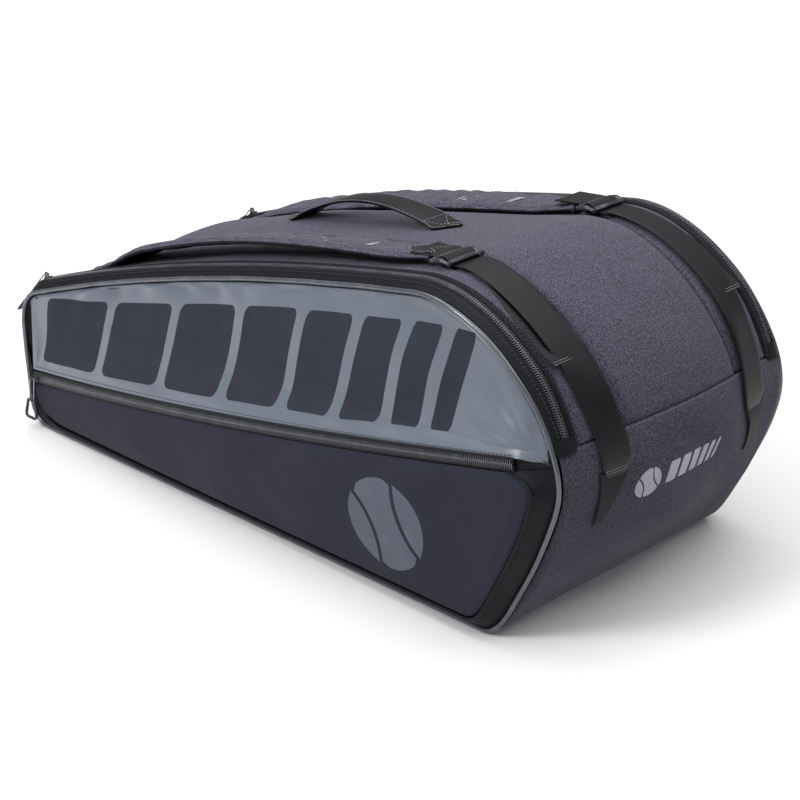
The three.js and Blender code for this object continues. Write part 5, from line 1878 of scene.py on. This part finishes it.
@dataclass
class CarryHandle:
    """An arch of webbing sewn down at both ends with pointed feet."""

    narrow: float = -100.0
    wide: float = 88.0
    width: float = 40.0
    arch: float = 22.0
    foot: float = 24.0
    thickness: float = 2.4

    def lift(self, x: Array) -> Array:
        """Height of the arch's inner face over the gusset at x."""
        share = np.clip((x - self.narrow) / (self.wide - self.narrow), 0, 1)
        return self.arch * np.sin(math.pi * share)**0.8 + 0.5

    def half(self, word: str, ends: tuple[float, float], tip: float) -> Sheet:
        """One half of the handle from its pointed foot to the middle.

        Args:
            word: the piece's name.
            ends: x of its two ends, the foot first.
            tip: length of the pointed tip.

        Returns:
            The sheet.
        """
        u, v = rows(90, 0.01), rows(16, 0.07)
        x = mix(ends[0], ends[1], u)
        height = np.array([FORM.top_height(a, 0.0) for a in np.linspace(*sorted(ends), 40)])
        z = np.interp(x, np.linspace(*sorted(ends), 40), height) + self.lift(x) + self.thickness
        half = self.width / 2 * (0.10 + 0.82 * np.clip(np.abs(x - ends[0]) / tip, 0, 1)) * (
            1 - 0.10 * np.sin(math.pi * np.clip((x - self.narrow) / (self.wide - self.narrow), 0, 1)))
        y = half[:, None] * (2 * v[None, :] - 1)
        cup = 2.2 * (1 - (y / 20)**2) * ramp(self.lift(x), 3, 16)[:, None]
        grid = points(x[:, None], y, z[:, None] + cup - 1.6 * ramp(self.lift(x), 3, 16)[:, None])
        if ends[0] > ends[1]:
            grid = grid[::-1]
        sheet = Sheet(word, grid, self.thickness, "polyester_webbing")
        rolled = -0.5 * roll(edge_gap(grid, False, True), 1.8)
        return sheet.raise_by(rolled - 0.5 * np.exp(-((np.abs(y if ends[0] < ends[1] else y[::-1]) - 14.5) / 1.2)**2)
                              * ramp(self.lift(grid[..., 0]), 2, 6))

    def build(self) -> None:
        """Makes both halves, each arching from its foot to the middle, with their stitches."""
        middle = (self.narrow + self.wide) / 2
        for word, end, nodes in (("narrow", self.narrow - self.foot, ["handle_foot_narrow", "carry_handle"]),
                                 ("wide", self.wide + self.foot, ["handle_foot_wide"])):
            sheet = self.half(f"carry_handle_{word}_half", (end, middle), 19.0)
            base = self.narrow if word == "narrow" else self.wide
            inwards = 1 if word == "narrow" else -1
            limits = [(at, 0.0, FORM.top_height(at, 0.0)) for at in (base - 2 * inwards, base + 52 * inwards)]
            limits = {k: tuple(np.array(p) * MM) for k, p in zip(("start", "end"), limits)}
            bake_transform(dress(sheet.build(), None, nodes))
            from_u, to_u = (0.10, 1.0) if word == "narrow" else (0.0, 0.90)
            line = np.linspace(from_u, to_u, 120)
            rows_of = [on_sheet(sheet, line, v) for v in (0.11, 0.89)]
            foot_u = np.array([0.02, 0.30]) if word == "narrow" else np.array([0.98, 0.70])
            rows_of += [on_sheet(sheet, np.linspace(*foot_u, 24), np.linspace(a, b, 24))
                        for a, b in ((0.15, 0.85), (0.85, 0.15))]
            rows_of.append(on_sheet(sheet, foot_u[1], np.linspace(0.12, 0.88, 24)))
            sewn = stitches(f"carry_handle_{word}_stitches", rows_of, "pale_thread", 3.8, 2.6, 0.32)
            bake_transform(dress(sewn))
        LOG.info("carry handle built")


# ---------------------------------------------------------------- studio
@dataclass
class Studio:
    """Camera, pale floor and soft light."""

    target: tuple[float, float, float] = (0.0318, 0.0, 0.0797)
    azimuth: float = 44.0
    elevation: float = 24.2
    distance: float = 2.1693
    lens: float = 97.0
    shift: float = 0.0195

    def camera(self) -> None:
        """Looks down on the near wide corner."""
        a, e = math.radians(self.azimuth), math.radians(self.elevation)
        back = Vector((math.sin(a) * math.cos(e), -math.cos(a) * math.cos(e), math.sin(e)))
        data = bpy.data.cameras.new("camera")
        data.lens, data.sensor_width, data.shift_y = self.lens, 36.0, self.shift
        data.clip_start, data.clip_end = 0.05, 50.0
        camera = bpy.data.objects.new("camera", data)
        camera.location = Vector(self.target) + back * self.distance
        camera.rotation_mode = "QUATERNION"
        camera.rotation_quaternion = (-back).to_track_quat("-Z", "Y")
        bpy.context.scene.collection.objects.link(camera)
        bpy.context.scene.camera = camera

    def light(self, name: str, at: tuple[float, float, float], size: float, power: float) -> None:
        """A soft square lamp that looks at the bag."""
        data = bpy.data.lights.new(name, "AREA")
        data.size, data.energy = size, power
        lamp = bpy.data.objects.new(name, data)
        lamp.location = at
        lamp.rotation_mode = "QUATERNION"
        lamp.rotation_quaternion = (Vector((0, 0, 0.15)) - Vector(at)).to_track_quat("-Z", "Y")
        bpy.context.scene.collection.objects.link(lamp)

    def build(self) -> None:
        """Sets up everything round the bag."""
        self.camera()
        mesh = bpy.data.meshes.new("floor")
        r = 9.0
        mesh.from_pydata([(-r, -r, -0.0005), (r, -r, -0.0005), (r, r, -0.0005), (-r, r, -0.0005)], [],
                         [(0, 1, 2, 3)])
        floor = bpy.data.objects.new("floor", mesh)
        bpy.context.scene.collection.objects.link(floor)
        paper, _, shader = new_material("white_paper")
        shader.inputs["Base Color"].default_value = linear("#fafafa")
        shader.inputs["Roughness"].default_value = 0.95
        mesh.materials.append(paper)
        floor.visible_diffuse = False
        world = bpy.data.worlds.new("studio")
        bpy.context.scene.world = world
        world.use_nodes = True
        world.node_tree.nodes["Background"].inputs["Color"].default_value = (1.0, 1.0, 1.0, 1.0)
        world.node_tree.nodes["Background"].inputs["Strength"].default_value = 0.34
        bpy.context.scene.view_settings.view_transform = "Standard"
        self.light("top", (0.0, 0.5, 5.0), 8.0, 340.0)
        self.light("key", (-0.5, -2.4, 2.1), 1.0, 48.0)


def main() -> None:
    """Builds the bag piece by piece."""
    logging.basicConfig(level=logging.INFO, format="%(name)s: %(message)s")
    Studio().build()
    Shell().build()
    CarryHandle().build()
    for side, name in ((-1, "near"), (1, "far")):
        GussetBand(side, name).build()
        SidePanel(side, name).build()
        SidePocket(side, name).build()
        MainZip(side, name).build()
        PocketZip(side, name).build()
        ShoulderStrap(side, name, sink=0.0 if side < 0 else 0.75).build()


if __name__ == "__main__":
    main()
